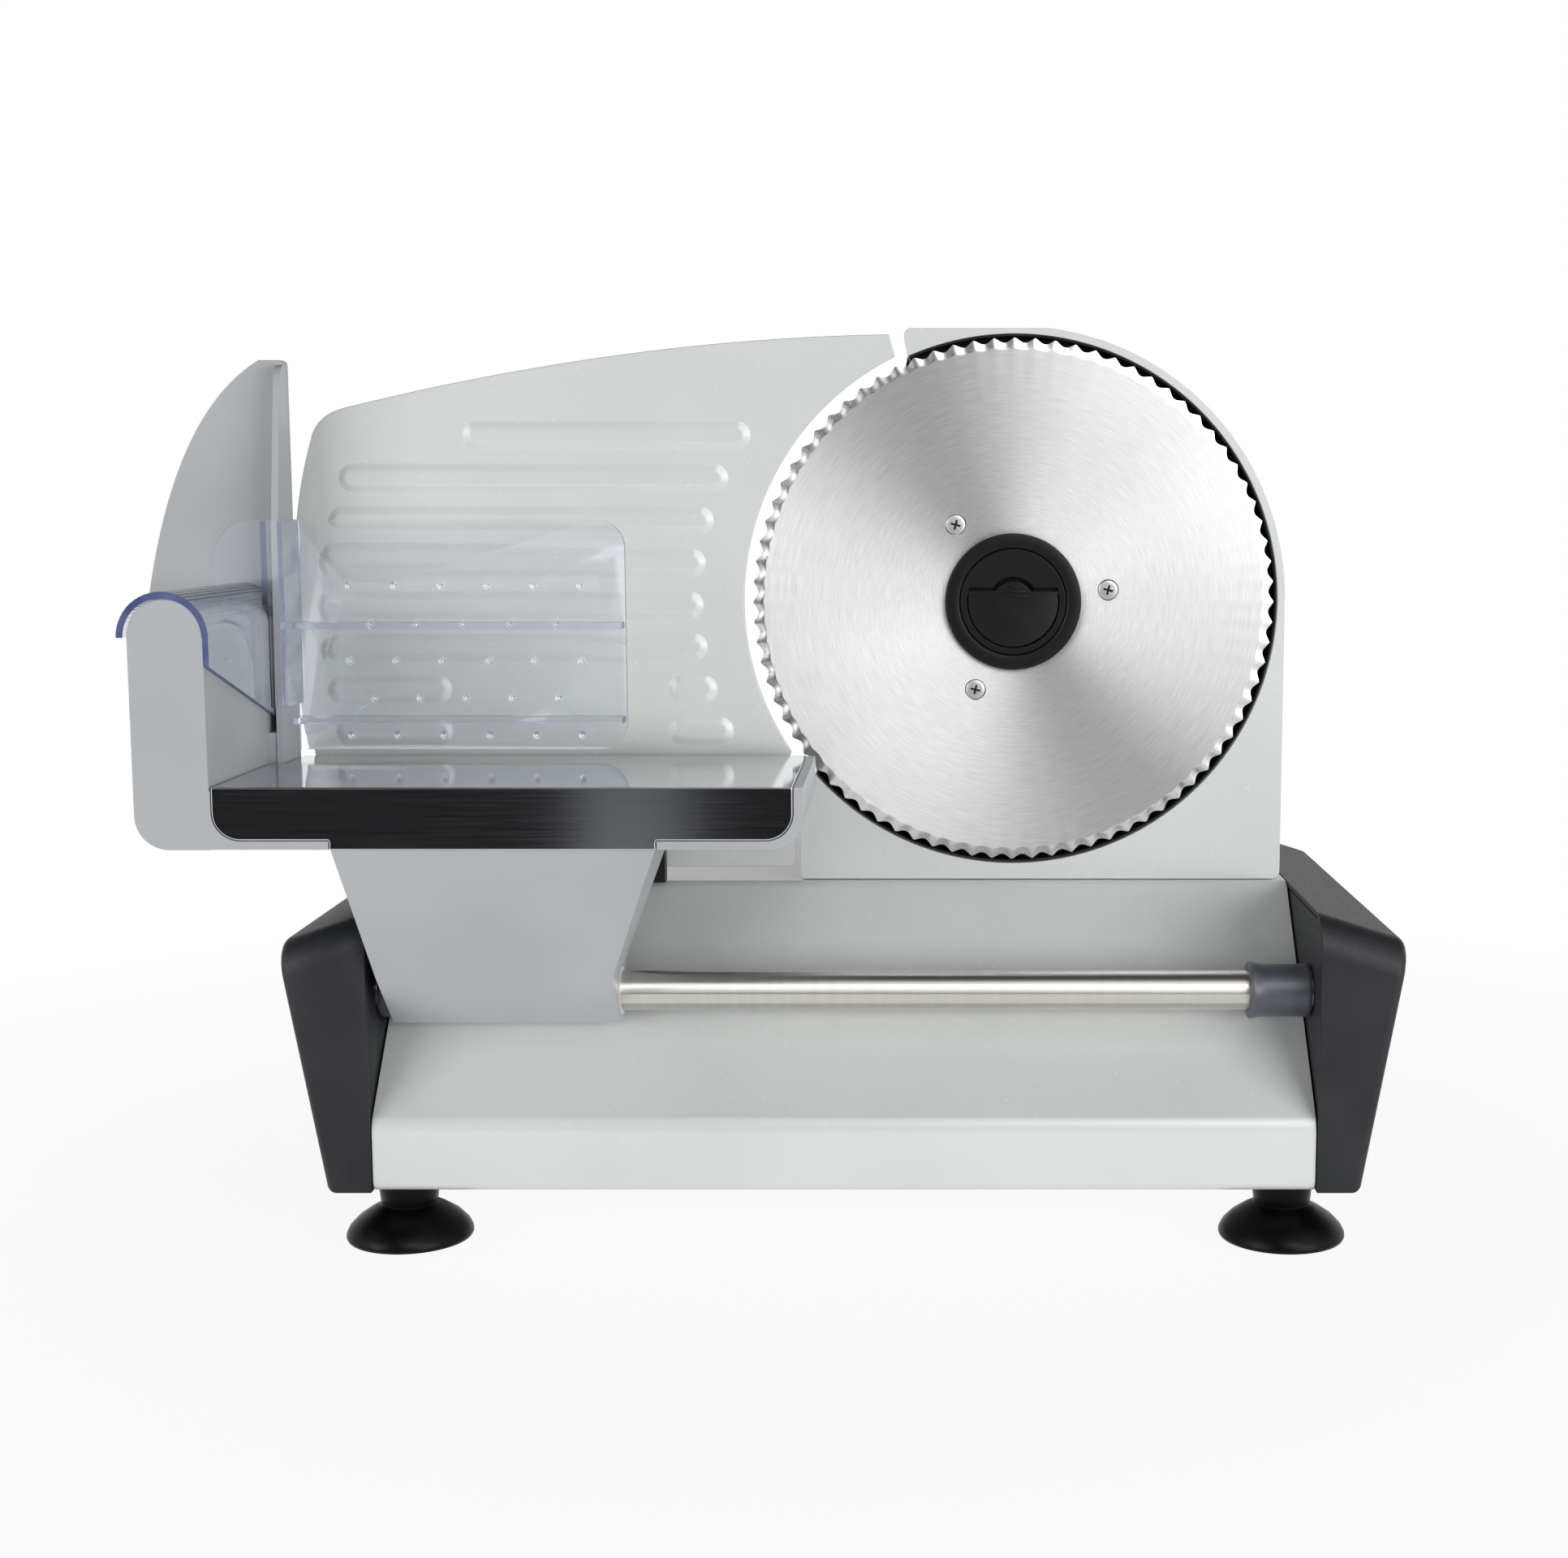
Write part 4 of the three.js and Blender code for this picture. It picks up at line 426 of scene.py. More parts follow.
def soften(piece, width, segments=3, angle=40):
    """Rounds every sharp edge a little, as paint, moulding or deburring does."""
    choose(piece)
    bpy.ops.object.mode_set(mode="EDIT")
    bpy.ops.mesh.select_mode(type="VERT")
    bpy.ops.mesh.select_all(action="SELECT")
    bpy.ops.mesh.remove_doubles(threshold=MERGE_GAP * MM)
    bpy.ops.mesh.dissolve_limited(angle_limit=math.radians(FLAT_ANGLE))
    bpy.ops.object.mode_set(mode="OBJECT")
    applied(piece, "BEVEL", width=width * MM, segments=segments, limit_method="ANGLE",
            angle_limit=math.radians(angle), miter_outer="MITER_ARC")
    even(piece)


# Powder paint on steel: light grey, satin and even, with a soft orange-peel skin.
paint, tree, shader, place = surface("satin_grey_powder_paint", {"IOR": 1.5, "Specular IOR Level": 0.8})
drift = add(tree, "ShaderNodeTexNoise", {"Vector": place, "Scale": 1 / (70 * MM), "Detail": 2.0})
add(tree, "ShaderNodeValToRGB", {"Fac": drift}, ramp=[(0.25, "#ced2d0"), (0.8, "#d7dad8")],
    to=shader["Base Color"])
peel = add(tree, "ShaderNodeTexNoise",
           {"Vector": place, "Scale": 1 / (1.6 * MM), "Detail": 3.0, "Roughness": 0.6})
add(tree, "ShaderNodeMapRange", {"Value": peel, "To Min": 0.22, "To Max": 0.3}, to=shader["Roughness"])
add(tree, "ShaderNodeBump", {"Height": peel, "Strength": 0.06, "Distance": 0.1 * MM},
    to=shader["Normal"])

FRAME_HALF = (base_high.x - base_low.x) / 2 / MM
SHEET = 1.5
LIP_Y, LIP_TOP, DECK, BACK_Y, BASE_BOTTOM = -76, 44, 115.5, 134, 20
SLOPE_TOP_Y = LIP_Y + DECK - LIP_TOP
FLANGE, FOLD, SLOPE_FOLD = 32, 4, 3
DIAL_HOLE, GLAND_HOLE, FOOT_HOLE = 7.3, 7.8, 2.6
SLOT_GAP, FENCE_TRAVEL, CUT_PAST = 1.5, 15, 5
side_line = [(LIP_Y + FLANGE, BASE_BOTTOM), (LIP_Y, BASE_BOTTOM), (LIP_Y, LIP_TOP), (SLOPE_TOP_Y, DECK),
             (BACK_Y, DECK), (BACK_Y, BASE_BOTTOM), (BACK_Y - FLANGE, BASE_BOTTOM)]
base = drawn("folded_base", [at(-FRAME_HALF, y, z) for y, z in side_line])
bpy.ops.mesh.select_all(action="SELECT")
bpy.ops.mesh.extrude_region_move(TRANSFORM_OT_translate={"value": (2 * FRAME_HALF * MM, 0, 0)})
for folds, reach in ((side_line[1:2] + side_line[4:6], FOLD), (side_line[2:4], SLOPE_FOLD)):
    places = [at(0, y, z).yz for y, z in folds]
    pick(base, "edges", lambda e: all(
        any((v.co.yz - p).length < 0.1 * MM for p in places) for v in e.verts) and e.calc_length() > 0.1)
    bpy.ops.mesh.bevel(offset=reach * MM, segments=8, affect="EDGES")
bpy.ops.mesh.select_all(action="SELECT")
bpy.ops.mesh.normals_make_consistent(inside=False)
deck_face = max(bmesh.from_edit_mesh(base.data).faces, key=lambda f: f.calc_center_median().z)
if deck_face.normal.z < 0:
    bpy.ops.mesh.flip_normals()
bpy.ops.object.mode_set(mode="OBJECT")
applied(base, "SOLIDIFY", thickness=SHEET * MM, offset=-1, use_even_offset=True)
dial_place = Vector(next(j for j in frame["joints"] if j["name"] == "dial_turn")["pos_m"])
gland_middle = sum(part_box("cord_gland"), Vector()) / 2
wall_in, wall_out = at(0, BACK_Y - CUT_PAST, 0).y, at(0, BACK_Y + CUT_PAST, 0).y
cut(base,
    *[drum(radius, Vector((p.x, wall_in, p.z)), Vector((p.x, wall_out, p.z)))
      for p, radius in ((dial_place, DIAL_HOLE), (gland_middle, GLAND_HOLE))],
    *[drum(FOOT_HOLE, Vector((m.x, m.y, (BASE_BOTTOM - CUT_PAST) * MM)),
           Vector((m.x, m.y, (BASE_BOTTOM + CUT_PAST) * MM)), "z", 24) for m in foot_middles])
bracket_low, bracket_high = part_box("fence_bracket")
slot_low = Vector((bracket_low.x - MM, bracket_low.y - SLOT_GAP * MM, (DECK - CUT_PAST) * MM))
slot_high = Vector((bracket_high.x + MM, bracket_high.y + (FENCE_TRAVEL + SLOT_GAP) * MM,
                    (DECK + CUT_PAST) * MM))
cut(base, block("slot", slot_low, slot_high))
soften(base, 0.35, 2)
dress(base, paint, "base", "painted_steel", "base_frame")


# Base plate and its screws: a zinc plated sheet that closes the base from below. It keeps the shape
# that it is cut to, and so do all screws under the feet and in the cheeks.
# Zinc plate, passivated: a dull bluish metal with a fine crystal mottle.
zinc, tree, shader, place = surface("zinc_plated_steel", {"Metallic": 1.0})
spangle = add(tree, "ShaderNodeTexVoronoi", {"Vector": place, "Scale": 1 / (2.5 * MM)})
add(tree, "ShaderNodeValToRGB", {"Fac": spangle}, ramp=[(0.0, "#9b9ea2"), (0.8, "#b7babd")],
    to=shader["Base Color"])
add(tree, "ShaderNodeMapRange", {"Value": spangle, "To Min": 0.3, "To Max": 0.48},
    to=shader["Roughness"])


def finish_nodes(material, *names):
    """Puts a material on nodes that keep the shape that they have in the frame."""
    for name in names:
        mesh = frame["nodes"][name].data
        mesh.materials.clear()
        mesh.materials.append(material)


finish_nodes(zinc, "base_plate", "rod_screw_left", "rod_screw_right",
             *[f"foot_screw_{i}" for i in (1, 2, 3, 4)])


# Cheeks: two black moulded end shells, wider at the top, with a rolled front and back top edge. An
# inner panel sits in a rim and holds the guide rod; behind the slope the shell is open to the base.
# Textured ABS: near black, satin, with a leather grain from the mould, drawn coarser than it is.
black_abs, tree, shader, place = surface("textured_black_abs", {"IOR": 1.53, "Specular IOR Level": 0.28})
cells = add(tree, "ShaderNodeTexVoronoi", {"Vector": place, "Scale": 1 / (0.9 * MM)})
mottle = add(tree, "ShaderNodeTexNoise", {"Vector": place, "Scale": 1 / (24 * MM), "Detail": 3.0})
add(tree, "ShaderNodeValToRGB", {"Fac": mottle}, ramp=[(0.3, "#1b1c1f"), (0.75, "#26272b")],
    to=shader["Base Color"])
add(tree, "ShaderNodeMapRange", {"Value": cells, "To Min": 0.4, "To Max": 0.56}, to=shader["Roughness"])
add(tree, "ShaderNodeBump", {"Height": cells, "Strength": 0.3, "Distance": 0.06 * MM},
    to=shader["Normal"])

CHEEK_INNER = FRAME_HALF + 0.3
CHEEK_TOP, CHEEK_FOOT, CHEEK_FALL = 30.4, 15.2, 9.6
CHEEK_WALL = 2.5
CHEEK_FRONT, CHEEK_BACK = LIP_Y - 1, BACK_Y + 1
TOP_ROLL, SIDE_ROUND = 12, 3
PANEL_RIM, PANEL_SUNK, PANEL_GROOVE, PANEL_RISE = 2, 1.5, 0.7, 1.2
ROD_HOLE = 7.2


def cheek_form(name, wall, inner):
    """The cheek's outer form, or its hollow when a wall is taken off all round."""
    piece = block(name, at(inner, CHEEK_FRONT + wall, BASE_BOTTOM + wall),
                  at(CHEEK_INNER + CHEEK_TOP - wall, CHEEK_BACK - wall, DECK - wall))
    outer = at(CHEEK_INNER + CHEEK_TOP - wall, 0, 0).x
    top = (DECK - wall) * MM
    bpy.ops.object.mode_set(mode="EDIT")
    pick(piece, "verts", lambda v: v.co.x > outer - MM and v.co.z < top - MM)
    bpy.ops.transform.translate(value=((CHEEK_FOOT - CHEEK_TOP) * MM, 0, 0))
    pick(piece, "verts", lambda v: v.co.x > outer - MM and v.co.z > top - MM)
    bpy.ops.transform.translate(value=(0, 0, -CHEEK_FALL * MM))
    pick(piece, "edges", lambda e: all(v.co.z > top - TOP_ROLL * MM for v in e.verts)
         and abs(e.verts[0].co.y - e.verts[1].co.y) < MM)
    bpy.ops.mesh.bevel(offset=(TOP_ROLL - wall) * MM, segments=12, affect="EDGES")
    pick(piece, "faces", lambda f: f.normal.x > 0.9)
    bpy.ops.mesh.region_to_loop()
    bpy.ops.mesh.bevel(offset=(SIDE_ROUND - wall / 2) * MM, segments=5, affect="EDGES")
    close_mesh()
    return piece


right_cheek = cheek_form("right_end_shell", 0, CHEEK_INNER)
bpy.ops.object.mode_set(mode="EDIT")
pick(right_cheek, "faces", lambda f: f.normal.x < -0.9)
for edge, sunk in ((PANEL_RIM, PANEL_SUNK), (PANEL_GROOVE, -PANEL_RISE)):
    bpy.ops.mesh.inset(thickness=edge * MM)
    bpy.ops.mesh.extrude_region_move(TRANSFORM_OT_translate={"value": (sunk * MM, 0, 0)})
close_mesh()
rod_low, rod_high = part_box("guide_rod")
rod_middle = (rod_low + rod_high) / 2


def on_rod(x):
    """A place on the guide rod's axis."""
    return Vector((middle_x + x * MM, rod_middle.y, rod_middle.z))


def pulled(name, outline, pull):
    """A closed outline of points pulled straight along."""
    piece = drawn(name, outline, closed=True)
    bpy.ops.mesh.extrude_region_move(TRANSFORM_OT_translate={"value": pull})
    close_mesh()
    return piece


RIM = 3 * CHEEK_WALL
opening_side = [(LIP_Y + 2 * RIM, BASE_BOTTOM + RIM), (LIP_Y + 2 * RIM, LIP_TOP),
                (SLOPE_TOP_Y + RIM, DECK - RIM), (BACK_Y - RIM, DECK - RIM),
                (BACK_Y - RIM, BASE_BOTTOM + RIM)]
cut(right_cheek, cheek_form("hollow", CHEEK_WALL, CHEEK_INNER + CHEEK_WALL + 1),
    pulled("opening", [at(CHEEK_INNER - 1, y, z) for y, z in opening_side], (6 * MM, 0, 0)),
    drum(ROD_HOLE, on_rod(CHEEK_INNER - 1), on_rod(CHEEK_INNER + 6), "x"))
soften(right_cheek, 0.4, 2, 50)
mirror_x = Matrix.Translation((2 * middle_x, 0, 0)) @ Matrix.Scale(-1, 4, (1, 0, 0))
left_cheek = copied(right_cheek, "left_end_shell", mirror_x)
choose(left_cheek)
bpy.ops.object.mode_set(mode="EDIT")
bpy.ops.mesh.select_all(action="SELECT")
bpy.ops.mesh.flip_normals()
bpy.ops.object.mode_set(mode="OBJECT")
dress(right_cheek, black_abs, "base", "black_plastic", "right_cheek")
dress(left_cheek, black_abs, "base", "black_plastic", "left_cheek")


# Guide rod: a ground stainless bar between the cheeks, tapped at both ends for the screws that hold
# it, with a soft bump stop pushed on at each end. All three are turned.
# Ground stainless steel: bright, with lines round the bar. Real ones are hair-fine, so these are drawn
# coarser, and the stretched shine stands for the rest.
ground_steel, tree, shader, place = surface("ground_stainless_steel", {
    "Metallic": 1.0, "Anisotropic": 0.92, "Anisotropic Rotation": 0.25})
along = add(tree, "ShaderNodeMapping",
            {"Vector": place, "Scale": (1 / (3 * MM), 1 / (30 * MM), 1 / (30 * MM))})
lines = add(tree, "ShaderNodeTexNoise", {"Vector": along, "Scale": 1.0, "Detail": 3.0})
add(tree, "ShaderNodeValToRGB", {"Fac": lines}, ramp=[(0.3, "#cac7c1"), (0.7, "#d0cdc7")],
    to=shader["Base Color"])
add(tree, "ShaderNodeMapRange", {"Value": lines, "To Min": 0.29, "To Max": 0.31}, to=shader["Roughness"])
add(tree, "ShaderNodeTangent", direction_type="RADIAL", axis="X", to=shader["Tangent"])

ROD_RADIUS, ROD_END, ROD_CHAMFER, TAP_RADIUS, TAP_END = 7, 169, 0.7, 2.45, 154
rod_half = [(ROD_RADIUS, ROD_END - ROD_CHAMFER), (ROD_RADIUS - ROD_CHAMFER, ROD_END),
            (TAP_RADIUS, ROD_END), (TAP_RADIUS, TAP_END), (0, TAP_END)]
rod = turned("ground_rod", [(r, -a) for r, a in reversed(rod_half)] + rod_half, on_rod(0), "x", 128)
smooth(rod)
dress(rod, ground_steel, "base", "stainless", "guide_rod")

# Soft vinyl: blue black and satin, with a faint moulded haze.
stop_vinyl, tree, shader, place = surface("satin_blue_black_vinyl", {"IOR": 1.53})
haze = add(tree, "ShaderNodeTexNoise", {"Vector": place, "Scale": 1 / (8 * MM), "Detail": 3.0})
add(tree, "ShaderNodeValToRGB", {"Fac": haze}, ramp=[(0.3, "#474951"), (0.75, "#565860")],
    to=shader["Base Color"])
add(tree, "ShaderNodeMapRange", {"Value": haze, "To Min": 0.3, "To Max": 0.42}, to=shader["Roughness"])

stop_profile = [(7.3, 139.6), (9.3, 139.6), (9.8, 140.1), (9.85, 140.9), (9.6, 142), (9.25, 143.2),
                (9.1, 146), (9.1, 156), (9.2, 158.6), (9.3, 159.4), (9.3, 160.5), (8.9, 161),
                (7.3, 161), (7.3, 139.6)]
for side, sign in (("left", -1), ("right", 1)):
    stop = turned(f"{side}_bump_stop", [(r, sign * a) for r, a in stop_profile], on_rod(0), "x")
    smooth(stop, 50)
    dress(stop, stop_vinyl, "base", "rubber", f"bump_stop_{side}")


# Blade housing: a painted casting with a round recess for the blade, a horn at the top left and a
# straight foot on the deck. Its back is hollow round the drive.
def arc(x, z, radius, start, end, steps=32):
    """Points of a round stretch, from one angle to another in degrees."""
    angles = [math.radians(start + (end - start) * i / steps) for i in range(steps + 1)]
    return [(x + radius * math.cos(a), z + radius * math.sin(a)) for a in angles]


def filleted(corners, steps=8):
    """An outline of (across, up, radius) corners; a corner with a radius becomes an arc."""
    line = []
    for i, (x, z, *radius) in enumerate(corners):
        here = Vector((x, z))
        if not radius:
            line.append((x, z))
            continue
        before = (Vector(corners[i - 1][:2]) - here).normalized()
        after = (Vector(corners[(i + 1) % len(corners)][:2]) - here).normalized()
        half = before.angle(after) / 2
        middle = here + (before + after).normalized() * radius[0] / math.sin(half)
        first = here + before * radius[0] / math.tan(half) - middle
        last = here + after * radius[0] / math.tan(half) - middle
        start = math.atan2(first.y, first.x)
        sweep = (math.atan2(last.y, last.x) - start + math.pi) % math.tau - math.pi
        line += arc(middle.x, middle.y, radius[0], math.degrees(start), math.degrees(start + sweep),
                    steps)
    return line


BLADE_X, BLADE_Z, BLADE_RADIUS = 60, 218, 95
RECESS_RADIUS, RECESS_DEPTH, HOUSING_RADIUS, HOUSING_DEPTH = 96.4, 20, 99, 30
HOUSING_LEFT, HOUSING_BOTTOM, HOUSING_TOP = -18, 115.8, 316.3
HOUSING_WALL, SPINDLE_HOLE = 2.5, 6


def housing_outline(inset=0):
    """The housing seen from the front, or an outline set in from its edge."""
    radius = HOUSING_RADIUS - inset
    top = HOUSING_TOP - inset
    shoulder = math.degrees(math.asin((top - BLADE_Z) / radius))
    return filleted([
        (BLADE_X - 40.5 + inset, top, 2.5),
        *arc(BLADE_X, BLADE_Z, radius, shoulder, 0, 64),
        (BLADE_X + radius, HOUSING_BOTTOM + inset, 3),
        (HOUSING_LEFT + inset, HOUSING_BOTTOM + inset, 2),
        (HOUSING_LEFT + inset, BLADE_Z - 77),
        (HOUSING_LEFT + 5 + inset, BLADE_Z - 65),
        (BLADE_X - 38 + inset, top - 11)])


housing = pulled("cast_housing", [at(x, 0, z) for x, z in housing_outline()], (0, HOUSING_DEPTH * MM, 0))
bpy.ops.object.mode_set(mode="EDIT")
pick(housing, "faces", lambda f: f.normal.y > 0.9)
bpy.ops.mesh.inset(thickness=HOUSING_WALL * MM)
pocket = HOUSING_DEPTH - RECESS_DEPTH - HOUSING_WALL
bpy.ops.mesh.extrude_region_move(TRANSFORM_OT_translate={"value": (0, -pocket * MM, 0)})
close_mesh()
cut(housing,
    drum(RECESS_RADIUS, at(BLADE_X, -5, BLADE_Z), at(BLADE_X, RECESS_DEPTH, BLADE_Z), sides=256),
    drum(SPINDLE_HOLE, at(BLADE_X, 10, BLADE_Z), at(BLADE_X, 28, BLADE_Z)))
soften(housing, 0.6)
dress(housing, paint, "base", "painted_cast", "blade_housing")

# Recess shade: a thin black cup put into the recess behind the blade as painted shade, so that the
# gap between the teeth shows dark. It is turned, and trimmed to the housing's outline where the
# recess breaks through it.
shade_cup = turned("recess_liner", [
    (14, 19.3), (95.7, 19.3), (95.7, 3.5), (96.25, 3.5), (96.25, 19.8), (14, 19.8), (14, 19.3)],
    at(BLADE_X, 0, BLADE_Z), "y", 192)
cut(shade_cup, pulled("trim", [at(x, -2, z) for x, z in housing_outline(0.8)], (0, 40 * MM, 0)),
    operation="INTERSECT")
smooth(shade_cup)
dress(shade_cup, black_abs, "base", "black_plastic")


# Motor cover: a painted shell behind the housing with a rounded back, six air slots and a square hole
# for the switch on its right side.
def lofted(name, rings):
    """Closed outlines with as many points each, bridged one to the next, with both ends filled."""
    piece = drawn(name, rings[0], closed=True)
    bpy.ops.mesh.delete(type="ONLY_FACE")
    for ring in rings[1:]:
        stroke(piece, ring, closed=True)
        bpy.ops.mesh.delete(type="ONLY_FACE")
    count = len(rings[0])
    for low in range(0, count * (len(rings) - 1), count):
        pick(piece, "edges", lambda e: (e.is_wire or e.is_boundary) and all(
            low <= v.index < low + 2 * count for v in e.verts))
        bpy.ops.mesh.bridge_edge_loops()
    bpy.ops.mesh.select_all(action="SELECT")
    bpy.ops.mesh.fill_holes(sides=0)
    close_mesh()
    return piece


COVER_FRONT, COVER_BACK, COVER_ROUND, COVER_INSET = 30.3, 122.3, 10, 1


def cover_form(name, wall, front):
    """The cover's outer form with its rounded back, or its hollow when a wall is taken off."""
    curl = COVER_ROUND - wall
    turns = [math.radians(90 * i / 6) for i in range(7)]
    steps = [(0, front)] + [
        (curl * (1 - math.cos(t)), COVER_BACK - COVER_ROUND + curl * math.sin(t)) for t in turns]
    outlines = [(y, housing_outline(COVER_INSET + wall + inset)) for inset, y in steps]
    return lofted(name, [[at(x, y, z) for x, z in outline] for y, outline in outlines])


cover = cover_form("cover_shell", 0, COVER_FRONT)
cut(cover, cover_form("cover_hollow", HOUSING_WALL, COVER_FRONT - 1))
SLOT_LEFT, SLOT_RIGHT, SLOT_LOW = BLADE_X - 25, BLADE_X + 45, BLADE_Z - 20
SLOT_PITCH, SLOT_HEIGHT, SLOT_ROUND, SLOT_ROWS = 12, 5, 2.4, 6
for row in range(SLOT_ROWS):
    low = SLOT_LOW + SLOT_PITCH * row
    high = low + SLOT_HEIGHT
    corners = ((SLOT_LEFT, low), (SLOT_RIGHT, low), (SLOT_RIGHT, high), (SLOT_LEFT, high))
    outline = filleted([(x, z, SLOT_ROUND) for x, z in corners], 5)
    cut(cover, pulled("slot", [at(x, COVER_BACK - 6, z) for x, z in outline], (0, 12 * MM, 0)))
switch_low, switch_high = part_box("switch_body")
switch_middle = (switch_low + switch_high) / 2
COVER_RIGHT = BLADE_X + HOUSING_RADIUS - COVER_INSET
HOLE_HALF = Vector((6, 8.3, 14.9))
hole_middle = Vector((at(COVER_RIGHT, 0, 0).x, switch_middle.y, switch_middle.z))
cut(cover, block("switch_hole", hole_middle - HOLE_HALF * MM, hole_middle + HOLE_HALF * MM))
soften(cover, 0.5)
dress(cover, paint, "base", "painted_cover", "motor_cover")


# Switch: a rocker of gloss black nylon in a black body that snaps into the cover's side. Both keep
# the frame's shapes.
# Gloss nylon: black and smooth, with faint handling marks in the gloss.
gloss_black, tree, shader, place = surface("gloss_black_nylon", {"IOR": 1.53})
marks = add(tree, "ShaderNodeTexNoise", {"Vector": place, "Scale": 1 / (3 * MM), "Detail": 5.0})
add(tree, "ShaderNodeValToRGB", {"Fac": marks}, ramp=[(0.3, "#121315"), (0.7, "#1a1b1d")],
    to=shader["Base Color"])
add(tree, "ShaderNodeMapRange", {"Value": marks, "To Min": 0.12, "To Max": 0.26}, to=shader["Roughness"])
finish_nodes(black_abs, "switch_body")
finish_nodes(gloss_black, "switch_rocker")


# Blade: a 190 mm stainless disc with 80 scalloped teeth. One tooth's sector is spun, its edge drawn
# in to the scallop, and the sector is then repeated round the axis.
# Brushed stainless: turned under the brush, so rings run round it and the light fans out. The rings
# are drawn coarser than they are, at 0.6 mm.
brushed, tree, shader, place = surface("brushed_stainless_steel", {
    "Metallic": 1.0, "Anisotropic": 0.85, "Anisotropic Rotation": 0.25})
blade_axis = Vector(next(j for j in frame["joints"] if j["name"] == "blade_spin")["pos_m"])
centred = add(tree, "ShaderNodeVectorMath", {0: place, 1: blade_axis}, operation="SUBTRACT")
flat = add(tree, "ShaderNodeVectorMath", {0: centred, 1: (1, 0, 1)}, operation="MULTIPLY")
radius = add(tree, "ShaderNodeVectorMath", {0: flat}, operation="LENGTH")
parts = add(tree, "ShaderNodeSeparateXYZ", {"Vector": flat}).outputs
angle = add(tree, "ShaderNodeMath", {0: parts["Z"], 1: parts["X"]}, operation="ARCTAN2")
rings_out = add(tree, "ShaderNodeMath", {0: radius, 1: 1 / (0.6 * MM)}, operation="MULTIPLY")
rings_round = add(tree, "ShaderNodeMath", {0: angle, 1: 7.0}, operation="MULTIPLY")
rings = add(tree, "ShaderNodeCombineXYZ", {"X": rings_out, "Y": rings_round})
lines = add(tree, "ShaderNodeTexNoise", {"Vector": rings, "Scale": 1.0, "Detail": 4.0, "Roughness": 0.6})
add(tree, "ShaderNodeValToRGB", {"Fac": lines}, ramp=[(0.3, "#d2d2d3"), (0.7, "#e4e4e4")],
    to=shader["Base Color"])
add(tree, "ShaderNodeMapRange", {"Value": lines, "To Min": 0.44, "To Max": 0.56}, to=shader["Roughness"])
add(tree, "ShaderNodeBump", {"Height": lines, "Strength": 0.1, "Distance": 0.02 * MM},
    to=shader["Normal"])
add(tree, "ShaderNodeTangent", direction_type="RADIAL", axis="Y", to=shader["Tangent"])

TEETH, TOOTH_DEPTH, TOOTH_STEPS, TOOTH_ROOT, TOOTH_FADE, SCALLOP = 80, 1.9, 8, 90, 4, 1.3
BLADE_DISH, BLADE_SHEET, BEVEL_START = 3, 1.2, 91.2
BLADE_HOLE, BEVEL_FRONT = 22.2, 0.35
blade_centre = Vector((blade_axis.x, cut_y, blade_axis.z))


def beside(place, x, y, z):
    """A place that is so many millimetres from another."""
    return place + Vector((x, y, z)) * MM


profile = [(BLADE_HOLE, BLADE_DISH), (30, BLADE_DISH - 0.3), (60, BLADE_DISH - 1.5),
           (BEVEL_START - 0.3, BEVEL_FRONT), (BEVEL_START, BEVEL_FRONT + 0.03), (93, BEVEL_FRONT + 0.4),
           (BLADE_RADIUS, BEVEL_FRONT + 0.8), (BLADE_RADIUS, BEVEL_FRONT + 0.85),
           (BEVEL_START, BEVEL_FRONT + BLADE_SHEET), (60, BLADE_DISH + BLADE_SHEET - 1.5),
           (BLADE_HOLE, BLADE_DISH + BLADE_SHEET), (BLADE_HOLE, BLADE_DISH)]
blade = drawn("toothed_blade", [beside(blade_centre, 0, a, r) for r, a in profile])
bpy.ops.mesh.select_all(action="SELECT")
sector = math.tau / TEETH
bpy.ops.mesh.spin(steps=TOOTH_STEPS, angle=sector, center=blade_centre, axis=(0, 1, 0))
mesh = bmesh.from_edit_mesh(blade.data)
for v in mesh.verts:
    out = Vector((v.co.x - blade_centre.x, v.co.z - blade_centre.z))
    if out.length > TOOTH_ROOT * MM:
        turn = (math.atan2(out.x, out.y) % sector) / sector
        hollow = math.sin(math.pi * turn) ** SCALLOP
        share = min(1, (out.length / MM - TOOTH_ROOT) / TOOTH_FADE)
        reach = 1 - hollow * share * TOOTH_DEPTH * MM / out.length
        v.co.x = blade_centre.x + out.x * reach
        v.co.z = blade_centre.z + out.y * reach
bmesh.update_edit_mesh(blade.data)
bpy.ops.mesh.select_all(action="SELECT")
bpy.ops.mesh.spin(steps=TEETH, dupli=True, angle=math.tau, center=blade_centre, axis=(0, 1, 0))
close_mesh()
screw_middles = [sum(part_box(f"blade_screw_{i}"), Vector()) / 2 for i in (1, 2, 3)]
SCREW_HEAD, SCREW_SHANK, SCREW_FRONT = 3.5, 1.93, 2.5
SEAT_HEAD, SEAT_SHANK = SCREW_HEAD + 0.4, SCREW_SHANK + 0.3
for middle in screw_middles:
    seat = turned("seat", [
        (0, 0.5), (SEAT_HEAD, 0.5), (SEAT_HEAD, SCREW_FRONT + 0.3), (SEAT_SHANK, 4.1), (SEAT_SHANK, 6),
        (0, 6)], Vector((middle.x, cut_y, middle.z)), "y", 48)
    cut(blade, seat)
smooth(blade, 25)
dress(blade, brushed, "cutter", "stainless", "blade")


def refinish(piece, material, test):
    """Gives the faces that pass a test a finish of their own."""
    piece.data.materials.append(material)
    for face in piece.data.polygons:
        if test(face.center, face.normal):
            face.material_index = 1


